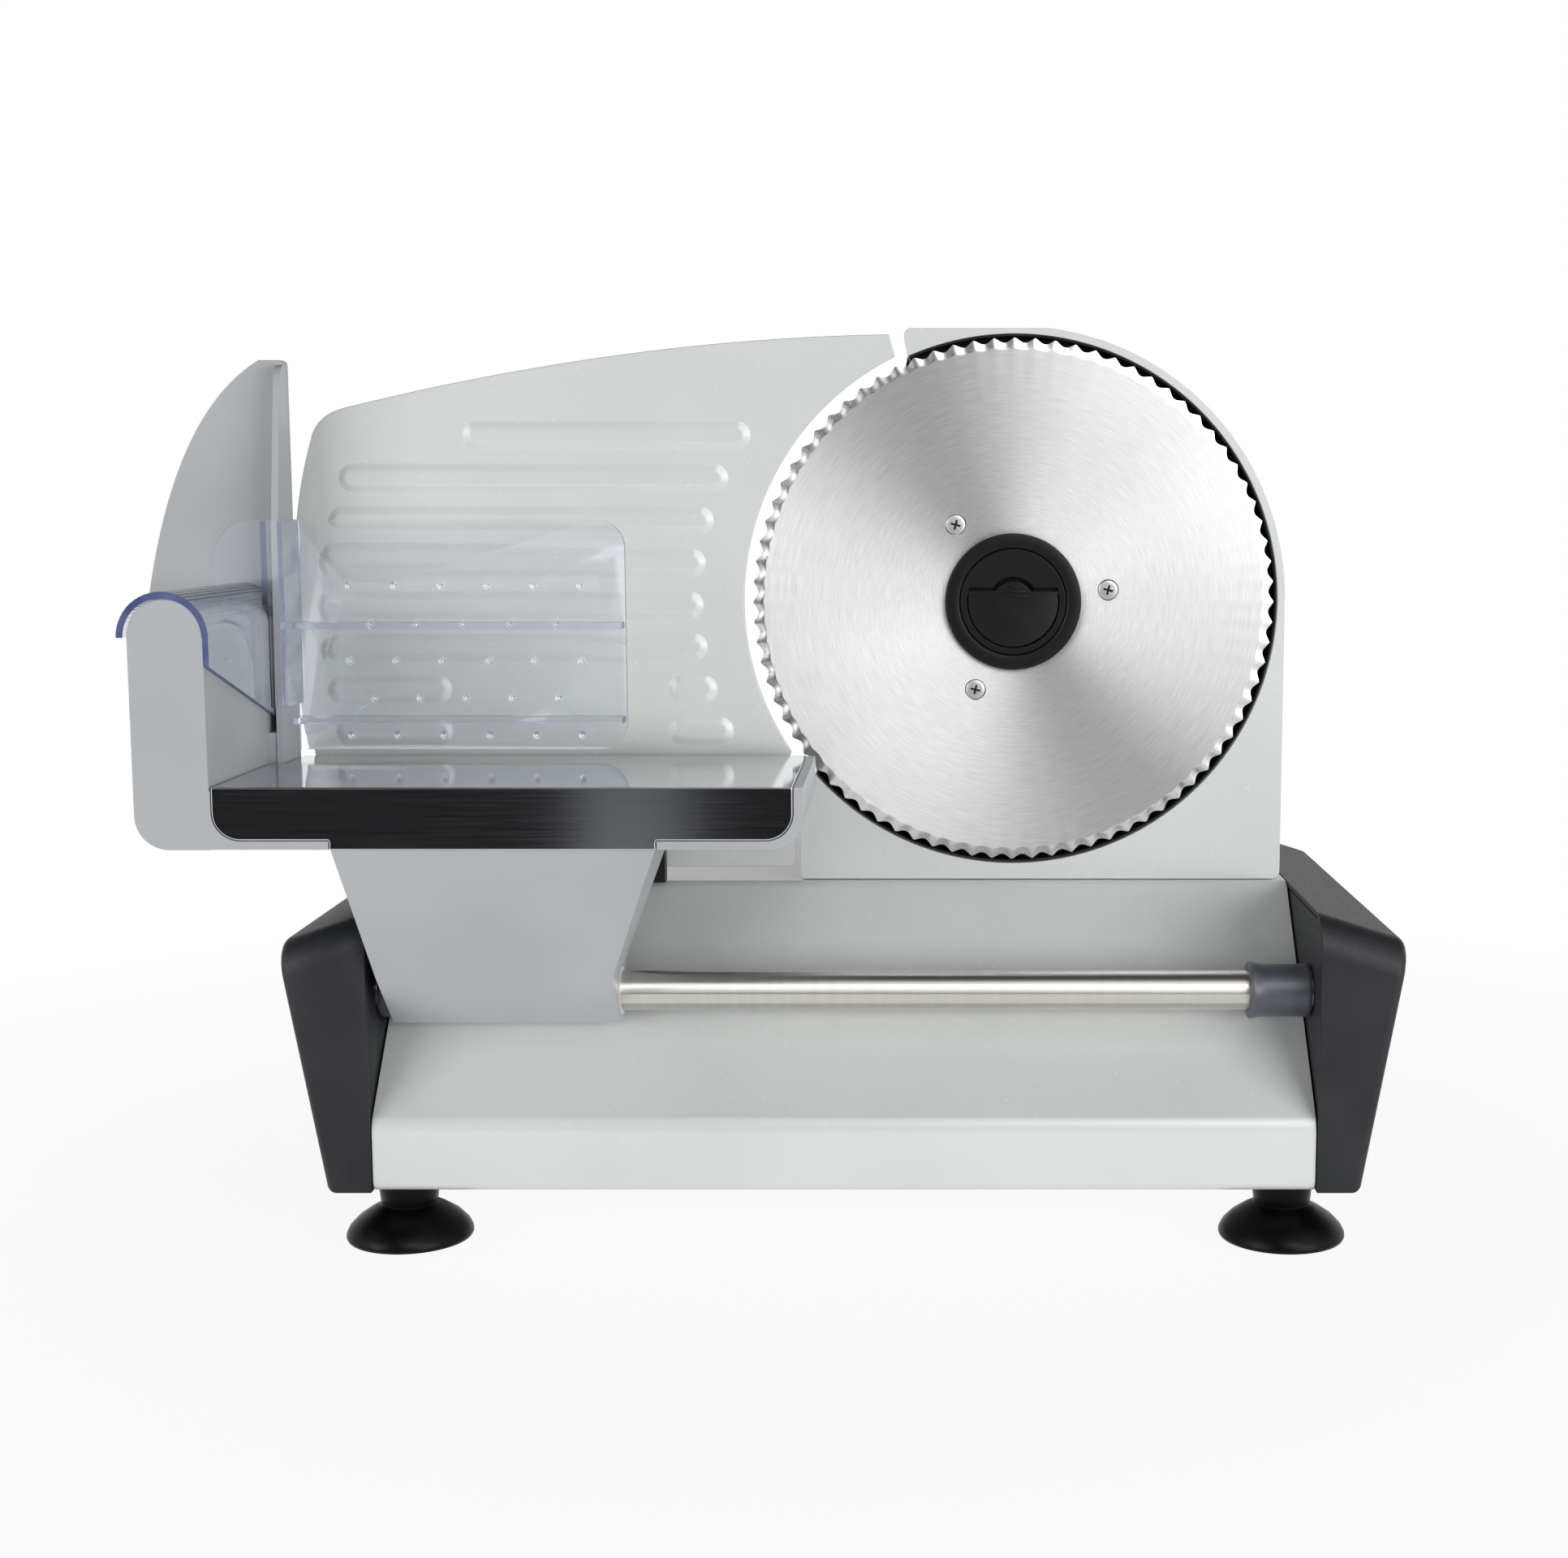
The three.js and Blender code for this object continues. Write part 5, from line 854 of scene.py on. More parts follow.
# Ground edge: bright from the wheel, with marks in the bevel that are drawn coarser than they are.
ground_edge, tree, shader, place = surface("ground_edge_steel", {"Metallic": 1.0})
marks = add(tree, "ShaderNodeTexNoise", {"Vector": place, "Scale": 1 / (0.8 * MM), "Detail": 2.0})
add(tree, "ShaderNodeValToRGB", {"Fac": marks}, ramp=[(0.3, "#c8c8c8"), (0.7, "#d8d8d8")],
    to=shader["Base Color"])
add(tree, "ShaderNodeMapRange", {"Value": marks, "To Min": 0.2, "To Max": 0.28}, to=shader["Roughness"])
refinish(blade, ground_edge, lambda middle, way: way.y < -0.5 and (
    (middle - blade_centre).xz.length > (BEVEL_START - 0.2) * MM))

# Blade screws: three countersunk screws of plated steel hold the blade to its hub. Each is turned, and
# its cross recess is cut with two blocks.
# Polished stainless: bright, with light scratches from handling, drawn coarser than they are.
polished, tree, shader, place = surface("polished_stainless_steel", {"Metallic": 1.0})
wiped = add(tree, "ShaderNodeMapping", {
    "Vector": place, "Rotation": (0.2, 0.3, 0.7),
    "Scale": (1 / (30 * MM), 1 / (0.5 * MM), 1 / (0.5 * MM))})
scratch = add(tree, "ShaderNodeTexNoise", {"Vector": wiped, "Scale": 1.0, "Detail": 2.0})
add(tree, "ShaderNodeValToRGB", {"Fac": scratch}, ramp=[(0.3, "#b9bcc0"), (0.7, "#c8cacd")],
    to=shader["Base Color"])
add(tree, "ShaderNodeMapRange", {"Value": scratch, "To Min": 0.05, "To Max": 0.12},
    to=shader["Roughness"])
# Bright plated steel: silver white and satin from the barrel.
plated, tree, shader, place = surface("bright_plated_steel", {"Metallic": 1.0})
barrel = add(tree, "ShaderNodeTexNoise", {"Vector": place, "Scale": 1 / (0.9 * MM), "Detail": 2.0})
add(tree, "ShaderNodeValToRGB", {"Fac": barrel}, ramp=[(0.3, "#b4b4b2"), (0.7, "#c2c2c0")],
    to=shader["Base Color"])
add(tree, "ShaderNodeMapRange", {"Value": barrel, "To Min": 0.4, "To Max": 0.5}, to=shader["Roughness"])
# Dark steel: oil black on the lever's pin. In the cross recess where the driver sits, the same dark is
# painted shade. The mottle of this and of the plate above is drawn coarser than it is.
pin_black_and_recess_shade, tree, shader, place = surface("blackened_steel", {"Metallic": 0.6})
oil = add(tree, "ShaderNodeTexNoise", {"Vector": place, "Scale": 1 / (0.7 * MM), "Detail": 2.0})
add(tree, "ShaderNodeValToRGB", {"Fac": oil}, ramp=[(0.3, "#1c1c1d"), (0.7, "#2a2a2b")],
    to=shader["Base Color"])
add(tree, "ShaderNodeMapRange", {"Value": oil, "To Min": 0.4, "To Max": 0.55}, to=shader["Roughness"])
CROSS_TURN, CROSS_REACH, CROSS_HALF = 0.25, 1.8, 0.38
for number, middle in enumerate(screw_middles, 1):
    centre = Vector((middle.x, cut_y, middle.z))
    made = turned(f"cross_screw_{number}", [
        (0, SCREW_FRONT - 0.15), (2.4, SCREW_FRONT - 0.1), (3.3, SCREW_FRONT),
        (SCREW_HEAD, SCREW_FRONT + 0.15), (SCREW_SHANK, 4.05), (SCREW_SHANK, 7.4), (0, 7.4)],
        centre, "y", 48)
    for turn in (CROSS_TURN, CROSS_TURN + math.pi / 2):
        wing = block("wing", beside(centre, -CROSS_REACH, SCREW_FRONT - 1, -CROSS_HALF),
                     beside(centre, CROSS_REACH, SCREW_FRONT + 0.9, CROSS_HALF))
        turning = Matrix.Rotation(turn, 4, "Y")
        wing.data.transform(Matrix.Translation(centre) @ turning @ Matrix.Translation(-centre))
        cut(made, wing)
    smooth(made)
    dress(made, plated, "cutter", "stainless", f"blade_screw_{number}")
    # The cross recess gets the dark steel as painted shade.
    refinish(made, pin_black_and_recess_shade, lambda middle, way: (middle - centre).xz.length < 2 * MM
             and SCREW_FRONT * MM < middle.y - centre.y < (SCREW_FRONT + 1) * MM)


# Hub ring, lock knob and lever: black moulded pieces in the blade's middle. The knob turns in the
# ring, and its D-shaped lever tips out by a half-round press tab with three grip bars.
# Glass-filled nylon: black, satin and speckled by the fibres, which are drawn coarser than they are.
hub_nylon, tree, shader, place = surface("satin_black_nylon", {"IOR": 1.53, "Specular IOR Level": 0.18})
speck = add(tree, "ShaderNodeTexNoise", {"Vector": place, "Scale": 1 / (0.7 * MM), "Detail": 3.0})
add(tree, "ShaderNodeValToRGB", {"Fac": speck}, ramp=[(0.3, "#090a0b"), (0.75, "#131416")],
    to=shader["Base Color"])
add(tree, "ShaderNodeMapRange", {"Value": speck, "To Min": 0.34, "To Max": 0.5}, to=shader["Roughness"])
add(tree, "ShaderNodeBump", {"Height": speck, "Strength": 0.2, "Distance": 0.05 * MM},
    to=shader["Normal"])
ring = turned("hub_trim", [
    (19.6, 1.3), (20, 0.9), (20.4, 0.8), (24.1, 0.8), (24.6, 1.0), (24.9, 1.5), (24.9, 2.7),
    (21.9, 2.7), (21.9, 4.2), (19.6, 4.2), (19.6, 1.3)], blade_centre, "y", 128)
smooth(ring)
dress(ring, hub_nylon, "cutter", "black_plastic", "hub_ring")

LOCK_SUNK, LEVER_RADIUS, LEVER_FLAT, LEVER_THICK = 0.8, 16.4, 4, 2.4
TAB_RADIUS, TAB_DROP = 7.4, 3.9


def lever_outline(round_gap=0, flat_gap=0, tab_gap=0):
    """The D with its low round tab, seen from the front, or its pocket when gaps are added."""
    reach = LEVER_RADIUS + round_gap
    start = math.degrees(math.asin((LEVER_FLAT + flat_gap) / reach))
    tab = TAB_RADIUS + tab_gap
    rise = math.degrees(math.asin((TAB_DROP + flat_gap) / tab))
    return [*arc(0, 0, reach, 180 - start, 360 + start, 64),
            *arc(0, LEVER_FLAT - TAB_DROP, tab, rise, 180 - rise, 24)]


knob = turned("lock_disc", [
    (0, LOCK_SUNK), (18.8, LOCK_SUNK), (19.15, 0.95), (19.3, 1.3), (19.3, 4.2), (13.5, 4.2),
    (13.5, 8.1), (7, 8.1), (7, 13.1), (0, 13.1)], blade_centre, "y", 128)
# The well leaves room for the tab's inner edge when the lever tips out.
WELL_FLOOR, POCKET_FLOOR = 5.6, 3.6
tab_swing = arc(0, LEVER_FLAT - TAB_DROP, TAB_RADIUS + 1.2, 22, 158, 20)
for name, outline, front, back in (
        ("tab_well", tab_swing, -2, WELL_FLOOR),
        ("pocket", lever_outline(0.5, 1.2, 1.7), -1, POCKET_FLOOR)):
    points = [beside(blade_centre, x, front, z) for x, z in outline]
    cut(knob, pulled(name, points, (0, (back - front) * MM, 0)))
soften(knob, 0.2, 2)
dress(knob, hub_nylon, "lock", "black_plastic", "lock_knob")
lever = pulled("press_lever", [beside(blade_centre, x, LOCK_SUNK, z) for x, z in lever_outline()],
               (0, LEVER_THICK * MM, 0))
soften(lever, 0.3, 3)
BAR_FRONT, BAR_BACK, BAR_HALF = 0.35, 1.2, 0.35
for rise, half in ((1.4, 2.4), (-0.3, 4.7), (-1.9, 5.6)):
    z = LEVER_FLAT + rise
    bar = block("bar", beside(blade_centre, -half, BAR_FRONT, z - BAR_HALF),
                beside(blade_centre, half, BAR_BACK, z + BAR_HALF))
    soften(bar, 0.2, 2)
    cut(lever, bar, operation="UNION")
smooth(lever)
dress(lever, hub_nylon, "lever", "black_plastic", "lock_lever")
finish_nodes(polished, "spindle")
finish_nodes(pin_black_and_recess_shade, "lever_pin")
finish_nodes(black_abs, "blade_hub")


# Drive: motor, worm, wheel and gearbox behind the recess, on bronze bushes. They are closed in by the
# cover, so they keep the frame's shapes.
# Natural nylon: creamy white, waxy and slightly see-through.
nylon, tree, shader, place = surface("natural_nylon", {"IOR": 1.53, "Subsurface Weight": 0.1})
milk = add(tree, "ShaderNodeTexNoise", {"Vector": place, "Scale": 1 / (12 * MM)})
add(tree, "ShaderNodeValToRGB", {"Fac": milk}, ramp=[(0.3, "#e0ddd3"), (0.7, "#eae8df")],
    to=shader["Base Color"])
add(tree, "ShaderNodeMapRange", {"Value": milk, "To Min": 0.38, "To Max": 0.5}, to=shader["Roughness"])
# Sintered bronze: brown gold, matt and porous, with the pores drawn coarser than they are.
bronze, tree, shader, place = surface("sintered_bronze", {"Metallic": 1.0})
pores = add(tree, "ShaderNodeTexNoise", {"Vector": place, "Scale": 1 / (0.6 * MM), "Detail": 4.0})
add(tree, "ShaderNodeValToRGB", {"Fac": pores}, ramp=[(0.35, "#8d6a3c"), (0.7, "#b08a52")],
    to=shader["Base Color"])
add(tree, "ShaderNodeMapRange", {"Value": pores, "To Min": 0.35, "To Max": 0.55}, to=shader["Roughness"])
# Die-cast aluminium: dull silver with a sandy skin, drawn coarser than it is.
cast, tree, shader, place = surface("die_cast_aluminium", {"Metallic": 1.0})
sand = add(tree, "ShaderNodeTexNoise", {"Vector": place, "Scale": 1 / (0.8 * MM), "Detail": 4.0})
add(tree, "ShaderNodeValToRGB", {"Fac": sand}, ramp=[(0.3, "#96989b"), (0.7, "#a9abae")],
    to=shader["Base Color"])
add(tree, "ShaderNodeMapRange", {"Value": sand, "To Min": 0.45, "To Max": 0.62}, to=shader["Roughness"])
add(tree, "ShaderNodeBump", {"Height": sand, "Strength": 0.2, "Distance": 0.1 * MM}, to=shader["Normal"])
finish_nodes(nylon, "worm_wheel", "slide_block", "thickness_cam", "glide_bush_left", "glide_bush_right")
finish_nodes(bronze, "spindle_bush_front", "spindle_bush_rear", "worm_bush", "dial_bush")
finish_nodes(cast, "gearbox_case")
finish_nodes(zinc, "motor", "fence_bracket", "rail_stand")
finish_nodes(ground_steel, "worm_shaft", "cam_pin", "slide_rail_left", "slide_rail_right",
             "dial_spindle")


# Fence plate: painted sheet whose right edge follows the blade, with eight pressed ribs that let the
# food slide. Each rib is a long round-ended form raised in small steps and joined to the sheet.
def curve(start, control, end, steps=16):
    """Points of a curved stretch between two points, pulled towards a third."""
    a, b, c = Vector(start), Vector(control), Vector(end)
    shares = [i / steps for i in range(steps + 1)]
    return [tuple(a * (1 - s) ** 2 + b * 2 * s * (1 - s) + c * s * s) for s in shares]


FENCE_FACE, FENCE_SHEET, FENCE_ARC = 1.5, 1.7, 98.2
FENCE_LEFT, FENCE_BOTTOM = -203, 120
FENCE_TOP = BLADE_Z + FENCE_ARC - 2.1
RIB_PITCH, RIB_HALF, RIB_HEIGHT, RIB_REACH, RIB_TOP_ROW = 15.35, 6, 1.2, 112, 60.2
edge = arc(BLADE_X, BLADE_Z, FENCE_ARC, 214, 116, 64)
foot_x = HOUSING_LEFT - 2.4
fence_outline = [
    *curve((edge[-1][0] - 2.2, FENCE_TOP), (FENCE_LEFT + 123, FENCE_TOP - 1.3),
           (FENCE_LEFT + 21, FENCE_TOP - 26), 24),
    *curve((FENCE_LEFT + 20, FENCE_TOP - 26.3), (FENCE_LEFT + 11.3, FENCE_TOP - 28.6),
           (FENCE_LEFT + 8.6, FENCE_TOP - 36), 10),
    *curve((FENCE_LEFT + 8.4, FENCE_TOP - 37), (FENCE_LEFT - 6, FENCE_TOP - 82),
           (FENCE_LEFT + 6, FENCE_BOTTOM + 43), 24),
    *curve((FENCE_LEFT + 9, FENCE_BOTTOM + 22), (FENCE_LEFT + 13, FENCE_BOTTOM),
           (FENCE_LEFT + 31, FENCE_BOTTOM), 12),
    *curve((foot_x - 3, FENCE_BOTTOM), (foot_x, FENCE_BOTTOM), (foot_x, FENCE_BOTTOM + 3), 6),
    (foot_x, FENCE_BOTTOM + 21), (foot_x - 2.6, FENCE_BOTTOM + 36), *edge]
fence = pulled("ribbed_fence", [at(x, FENCE_FACE, z) for x, z in fence_outline],
               (0, FENCE_SHEET * MM, 0))
soften(fence, 0.45)
# How far in from the fence's left edge each rib starts, from the top row down; the last two are split.
RIB_STARTS = [62.5, 17, 13, 11, 10, 11, 11.5, 14]
WHOLE_RIBS, SPLIT_LEFT, SPLIT_RIGHT = 6, FENCE_LEFT + 58.5, BLADE_X - RIB_REACH - 15.4
RIB_STEPS, RIB_FLANK, RIB_SUNK, RIB_BURIED = 8, 0.72, 0.6, 0.1
for row, inward in enumerate(RIB_STARTS):
    up = RIB_TOP_ROW - RIB_PITCH * row
    left, right = FENCE_LEFT + inward, BLADE_X - math.sqrt(RIB_REACH ** 2 - up ** 2)
    spans = [(left, right)] if row < WHOLE_RIBS else [(left, SPLIT_LEFT), (SPLIT_RIGHT, right)]
    for start, end in spans:
        ends = [*arc(end - RIB_HALF, BLADE_Z + up, RIB_HALF, -90, 90, 16),
                *arc(start + RIB_HALF, BLADE_Z + up, RIB_HALF, 90, 270, 16)]
        rib = pulled("rib", [at(x, FENCE_FACE + RIB_SUNK, z) for x, z in ends],
                     (0, (RIB_BURIED - RIB_SUNK) * MM, 0))
        bpy.ops.object.mode_set(mode="EDIT")
        pick(rib, "faces", lambda f: f.normal.y < -0.9)
        rise = [(RIB_HEIGHT + RIB_BURIED) * (1 - math.cos(math.pi * s / RIB_STEPS)) / 2
                for s in range(RIB_STEPS + 1)]
        for low, high in zip(rise, rise[1:]):
            bpy.ops.mesh.inset(thickness=RIB_FLANK * RIB_HALF / RIB_STEPS * MM, depth=(high - low) * MM)
        close_mesh()
        cut(fence, rib, operation="UNION")
smooth(fence, 32)
applied(fence, "WEIGHTED_NORMAL", keep_sharp=True, weight=60)
dress(fence, paint, "fence", "painted_steel", "fence_plate")


# Thickness dial and cord gland: black moulded pieces on the back wall. The dial has finger ribs and
# a pointer bar; the gland is a turned bush clamped in the wall.
dial_front = Vector((dial_place.x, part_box("thickness_dial")[0].y, dial_place.z))
dial = turned("dial_knob", [
    (0, 0), (23.4, 0), (24, 0.6), (24, 5.4), (23.4, 6), (19.6, 7.4), (0, 7.4)], dial_front, "y", 96)
FINGER_RIBS, GRIP_RADIUS, FLUTE, GRIP_START, GRIP_LONG = 28, 18.4, 0.5, 6, 15.2
flutes = [math.tau * i / (8 * FINGER_RIBS) for i in range(8 * FINGER_RIBS)]
waves = [(t, GRIP_RADIUS + FLUTE * math.cos(FINGER_RIBS * t)) for t in flutes]
grip = pulled("grip",
              [beside(dial_front, r * math.cos(t), GRIP_START, r * math.sin(t)) for t, r in waves],
              (0, GRIP_LONG * MM, 0))
soften(grip, 0.8, 3, 60)
pointer = block("pointer", beside(dial_front, -0.9, 20, 6), beside(dial_front, 0.9, 22, 16.6))
soften(pointer, 0.4, 2)
cut(dial, grip, pointer, operation="UNION")
DIAL_BORE, BORE_END = 4.05, 17.3
cut(dial, drum(DIAL_BORE, beside(dial_front, 0, -1, 0), beside(dial_front, 0, BORE_END, 0)))
smooth(dial, 35)
dress(dial, black_abs, "dial", "black_plastic", "thickness_dial")

gland_front = Vector((gland_middle.x, at(0, BACK_Y, 0).y, gland_middle.z))
gland = turned("gland_bush", [
    (4, -12), (7.5, -12), (7.5, 0.3), (11.2, 0.3), (11.5, 0.8), (11.2, 2.2), (10.4, 3.4), (9.6, 4),
    (5, 4), (4.2, 3.6), (4, 3), (4, -12)], gland_front, "y", 64)
smooth(gland, 40)
dress(gland, black_abs, "base", "black_plastic", "cord_gland")


# Food carriage: one grey moulding with a hollow rail on the left, a floor and apron under the tray, a
# leg that reaches round the guide rod and a tall guard with a flange. It is joined from those forms.
# Moulded ABS: mid grey, satin, with a faint sandy texture, drawn coarser than it is.
grey_abs, tree, shader, place = surface("moulded_grey_abs", {"IOR": 1.53})
haze = add(tree, "ShaderNodeTexNoise", {"Vector": place, "Scale": 1 / (45 * MM), "Detail": 2.0})
add(tree, "ShaderNodeValToRGB", {"Fac": haze}, ramp=[(0.3, "#a4a8ac"), (0.75, "#adb1b4")],
    to=shader["Base Color"])
sand = add(tree, "ShaderNodeTexNoise", {"Vector": place, "Scale": 1 / (0.5 * MM), "Detail": 2.0})
add(tree, "ShaderNodeMapRange", {"Value": sand, "To Min": 0.36, "To Max": 0.5}, to=shader["Roughness"])
add(tree, "ShaderNodeBump", {"Height": sand, "Strength": 0.1, "Distance": 0.04 * MM},
    to=shader["Normal"])

TRAY_TOP, TRAY_SHEET, TRAY_FRONT, TRAY_BACK = 162.5, 1, -99, -7
TRAY_LEFT, TRAY_RIGHT = -203.8, -15.4
CARRIAGE_BOTTOM, CARRIAGE_WALL = 141.9, 2.5
RAIL_X, RAIL_Z, RAIL_RADIUS = -216.7, 211, 12.3
RAIL_RIGHT = RAIL_X + RAIL_RADIUS
GUARD_BACK = TRAY_BACK - 1.7
GUARD_FRONT = GUARD_BACK - CARRIAGE_WALL
GUARD_RIGHT, GUARD_TOP, FLANGE_FRONT = -199, 304.2, -31
LEG_LEFT, LEG_RIGHT, LEG_FLARE_LEFT, LEG_FLARE_RIGHT, LEG_WALL = -156.6, -77.5, 9.4, 17.5, 3
ROD_Y, ROD_Z = -54, 85.7
LEG_BEND, LEG_REACH = ROD_Z + 9.4, 11.3
EDGE, STEP = 0.5, 0.15


def across(name, outline, front, back):
    """An outline of (across, up) points, pulled from a front to a back plane."""
    return pulled(name, [at(x, front, z) for x, z in outline], (0, (back - front) * MM, 0))


def sideways(name, outline, left, right):
    """An outline of (depth, up) points, pulled from left to right."""
    return pulled(name, [at(left, y, z) for y, z in outline], ((right - left) * MM, 0, 0))


def box_outline(left, right, bottom, top):
    """The four corners of an upright oblong."""
    return [(left, bottom), (right, bottom), (right, top), (left, top)]


carriage = across("carriage_moulding", filleted([
    (RAIL_X - RAIL_RADIUS, CARRIAGE_BOTTOM, 11), (RAIL_RIGHT, CARRIAGE_BOTTOM), (RAIL_RIGHT, RAIL_Z),
    *arc(RAIL_X, RAIL_Z, RAIL_RADIUS, 6, 174, 40), (RAIL_X - RAIL_RADIUS, RAIL_Z)]),
    TRAY_FRONT, GUARD_BACK)
soften(carriage, EDGE, 2)
guard_left = RAIL_X - 34.5
guard = across("guard", [
    (GUARD_RIGHT, CARRIAGE_BOTTOM + 8), (GUARD_RIGHT, GUARD_TOP - 2), *curve(
        (GUARD_RIGHT, GUARD_TOP - 2), (GUARD_RIGHT, GUARD_TOP), (GUARD_RIGHT - 3, GUARD_TOP), 4)[1:],
    *curve((GUARD_RIGHT - 10, GUARD_TOP), (GUARD_RIGHT - 40.5, GUARD_TOP - 18),
           (guard_left, RAIL_Z + 11), 32),
    *curve((guard_left, RAIL_Z + 10), (guard_left, RAIL_Z - 24), (RAIL_X, RAIL_Z - 40), 20)],
    GUARD_FRONT, GUARD_BACK - STEP)
soften(guard, EDGE, 2)
cut(carriage, guard, operation="UNION")
inner = RAIL_RADIUS - CARRIAGE_WALL
cut(carriage, across("rail_hollow", [
    (RAIL_X - inner, CARRIAGE_BOTTOM - 1), (RAIL_X + inner, CARRIAGE_BOTTOM - 1),
    *arc(RAIL_X, RAIL_Z, inner, 0, 180, 24)],
    TRAY_FRONT + CARRIAGE_WALL, GUARD_FRONT))
right_edge = TRAY_RIGHT + 3.3
apron = across("apron", filleted([
    (RAIL_RIGHT - 2, CARRIAGE_BOTTOM + STEP), (right_edge, CARRIAGE_BOTTOM + STEP, 11),
    (right_edge, TRAY_TOP), (RAIL_RIGHT - 2, TRAY_TOP)], 12), TRAY_FRONT + STEP, GUARD_BACK - STEP)
SEAT_GAP = 0.3
tray_under = TRAY_TOP - TRAY_SHEET - SEAT_GAP
lip_back = TRAY_FRONT + TRAY_SHEET
seat_outline = box_outline(RAIL_RIGHT, TRAY_RIGHT + SEAT_GAP, tray_under, TRAY_TOP + 1)
under_outline = box_outline(
    RAIL_RIGHT, right_edge - CARRIAGE_WALL, CARRIAGE_BOTTOM - 1, tray_under - CARRIAGE_WALL)
cut(apron, across("tray_seat", seat_outline, TRAY_FRONT - 1, GUARD_BACK + 1),
    across("apron_hollow", under_outline, lip_back + SEAT_GAP + CARRIAGE_WALL, GUARD_BACK - CARRIAGE_WALL))


def leg_face(wall):
    """The leg seen from the front, or its hollow when a wall is taken off."""
    top = CARRIAGE_BOTTOM + (-wall if wall else 1)
    low = ROD_Z - LEG_REACH - 1
    return [(LEG_LEFT - LEG_FLARE_LEFT + wall, top), (LEG_RIGHT + LEG_FLARE_RIGHT - wall, top),
            (LEG_RIGHT - wall, LEG_BEND), (LEG_RIGHT - wall, low), (LEG_LEFT + wall, low),
            (LEG_LEFT + wall, LEG_BEND)]


leg_low = ROD_Z - 7.8


def leg_side(inset):
    """The leg seen from the side, or its web when it is set in a little."""
    top = CARRIAGE_BOTTOM + 1 - inset
    return [(TRAY_FRONT + 0.5 + inset, top), (ROD_Y - 26.6 + inset, LEG_BEND),
            *arc(ROD_Y, ROD_Z, LEG_REACH - inset, 250, 360, 24), (ROD_Y + LEG_REACH - inset, top)]


hollow_side = [(TRAY_FRONT + 4, CARRIAGE_BOTTOM - CARRIAGE_WALL), (ROD_Y - 22.6, LEG_BEND + 0.8),
               (ROD_Y - 1.8, leg_low), (ROD_Y + LEG_REACH + 5, leg_low),
               (ROD_Y + LEG_REACH + 5, CARRIAGE_BOTTOM - CARRIAGE_WALL)]
leg = across("leg", leg_face(0), TRAY_FRONT, 0)
cut(leg, sideways("leg_side", leg_side(0), LEG_LEFT - 30, LEG_RIGHT + 30), operation="INTERSECT")
leg_hollow = across("leg_hollow", leg_face(LEG_WALL), TRAY_FRONT, 0)
cut(leg_hollow, sideways("hollow_side", hollow_side, LEG_LEFT - 30, LEG_RIGHT + 30),
    operation="INTERSECT")
cut(leg, leg_hollow)
STOP_SPACE = 21.7
web_left = -FRAME_HALF + STOP_SPACE
web = across("web", leg_face(0), TRAY_FRONT, 0)
cut(web, sideways("web_side", leg_side(0.3), web_left + 3, web_left + 7), operation="INTERSECT")
cut(leg, web, operation="UNION")
BUSH_HOLE, STOP_HOLE = 8.6, 10.1
cut(leg, drum(BUSH_HOLE, on_rod(web_left - 1), on_rod(LEG_RIGHT + 1), "x"),
    drum(STOP_HOLE, on_rod(LEG_LEFT - 1), on_rod(web_left + 1), "x"))
flange = sideways("flange", [
    (GUARD_BACK - 2 * STEP, tray_under - 2), (GUARD_BACK - 2 * STEP, GUARD_TOP - 2), *curve(
        (FLANGE_FRONT + 16, GUARD_TOP - 2), (FLANGE_FRONT + 12, GUARD_TOP - 2),
        (FLANGE_FRONT + 10.5, GUARD_TOP - 10), 6),
    (FLANGE_FRONT + 3, RAIL_Z + 38), (FLANGE_FRONT, tray_under - 2)],
    GUARD_RIGHT - CARRIAGE_WALL, GUARD_RIGHT - STEP)
FLANGE_FOOT = 12
flange_foot = block("flange_foot", at(RAIL_RIGHT - 1, FLANGE_FRONT + 1, tray_under - 1),
                    at(GUARD_RIGHT - 1, GUARD_BACK - 3 * STEP, tray_under + FLANGE_FOOT))


def lip_outline(grow):
    """The tray's front lip, lowest over the leg, or its seat when it is grown."""
    low = CARRIAGE_BOTTOM + 3.2
    step = CARRIAGE_BOTTOM - (1 if grow else 0)
    return filleted([
        (TRAY_LEFT - grow, TRAY_TOP), (TRAY_LEFT - grow, low - grow, 9 + grow),
        (LEG_LEFT - LEG_FLARE_LEFT - grow, low - grow), (LEG_LEFT - LEG_FLARE_LEFT - grow, step),
        (LEG_RIGHT + LEG_FLARE_RIGHT + grow, step), (LEG_RIGHT + LEG_FLARE_RIGHT + grow, low - grow),
        (TRAY_RIGHT + grow, low - grow, 9 + grow), (TRAY_RIGHT + grow, TRAY_TOP)], 12)


for form in (apron, leg):
    cut(form, across("lip_seat", lip_outline(SEAT_GAP), TRAY_FRONT - 1, lip_back + SEAT_GAP))
cut(flange, flange_foot, operation="UNION")
for form in (apron, leg, flange):
    soften(form, EDGE, 2)
cut(carriage, apron, leg, flange, operation="UNION")
even(carriage)
dress(carriage, grey_abs, "carriage", "grey_plastic", "carriage_body")
finish_nodes(black_abs, "rear_glide")


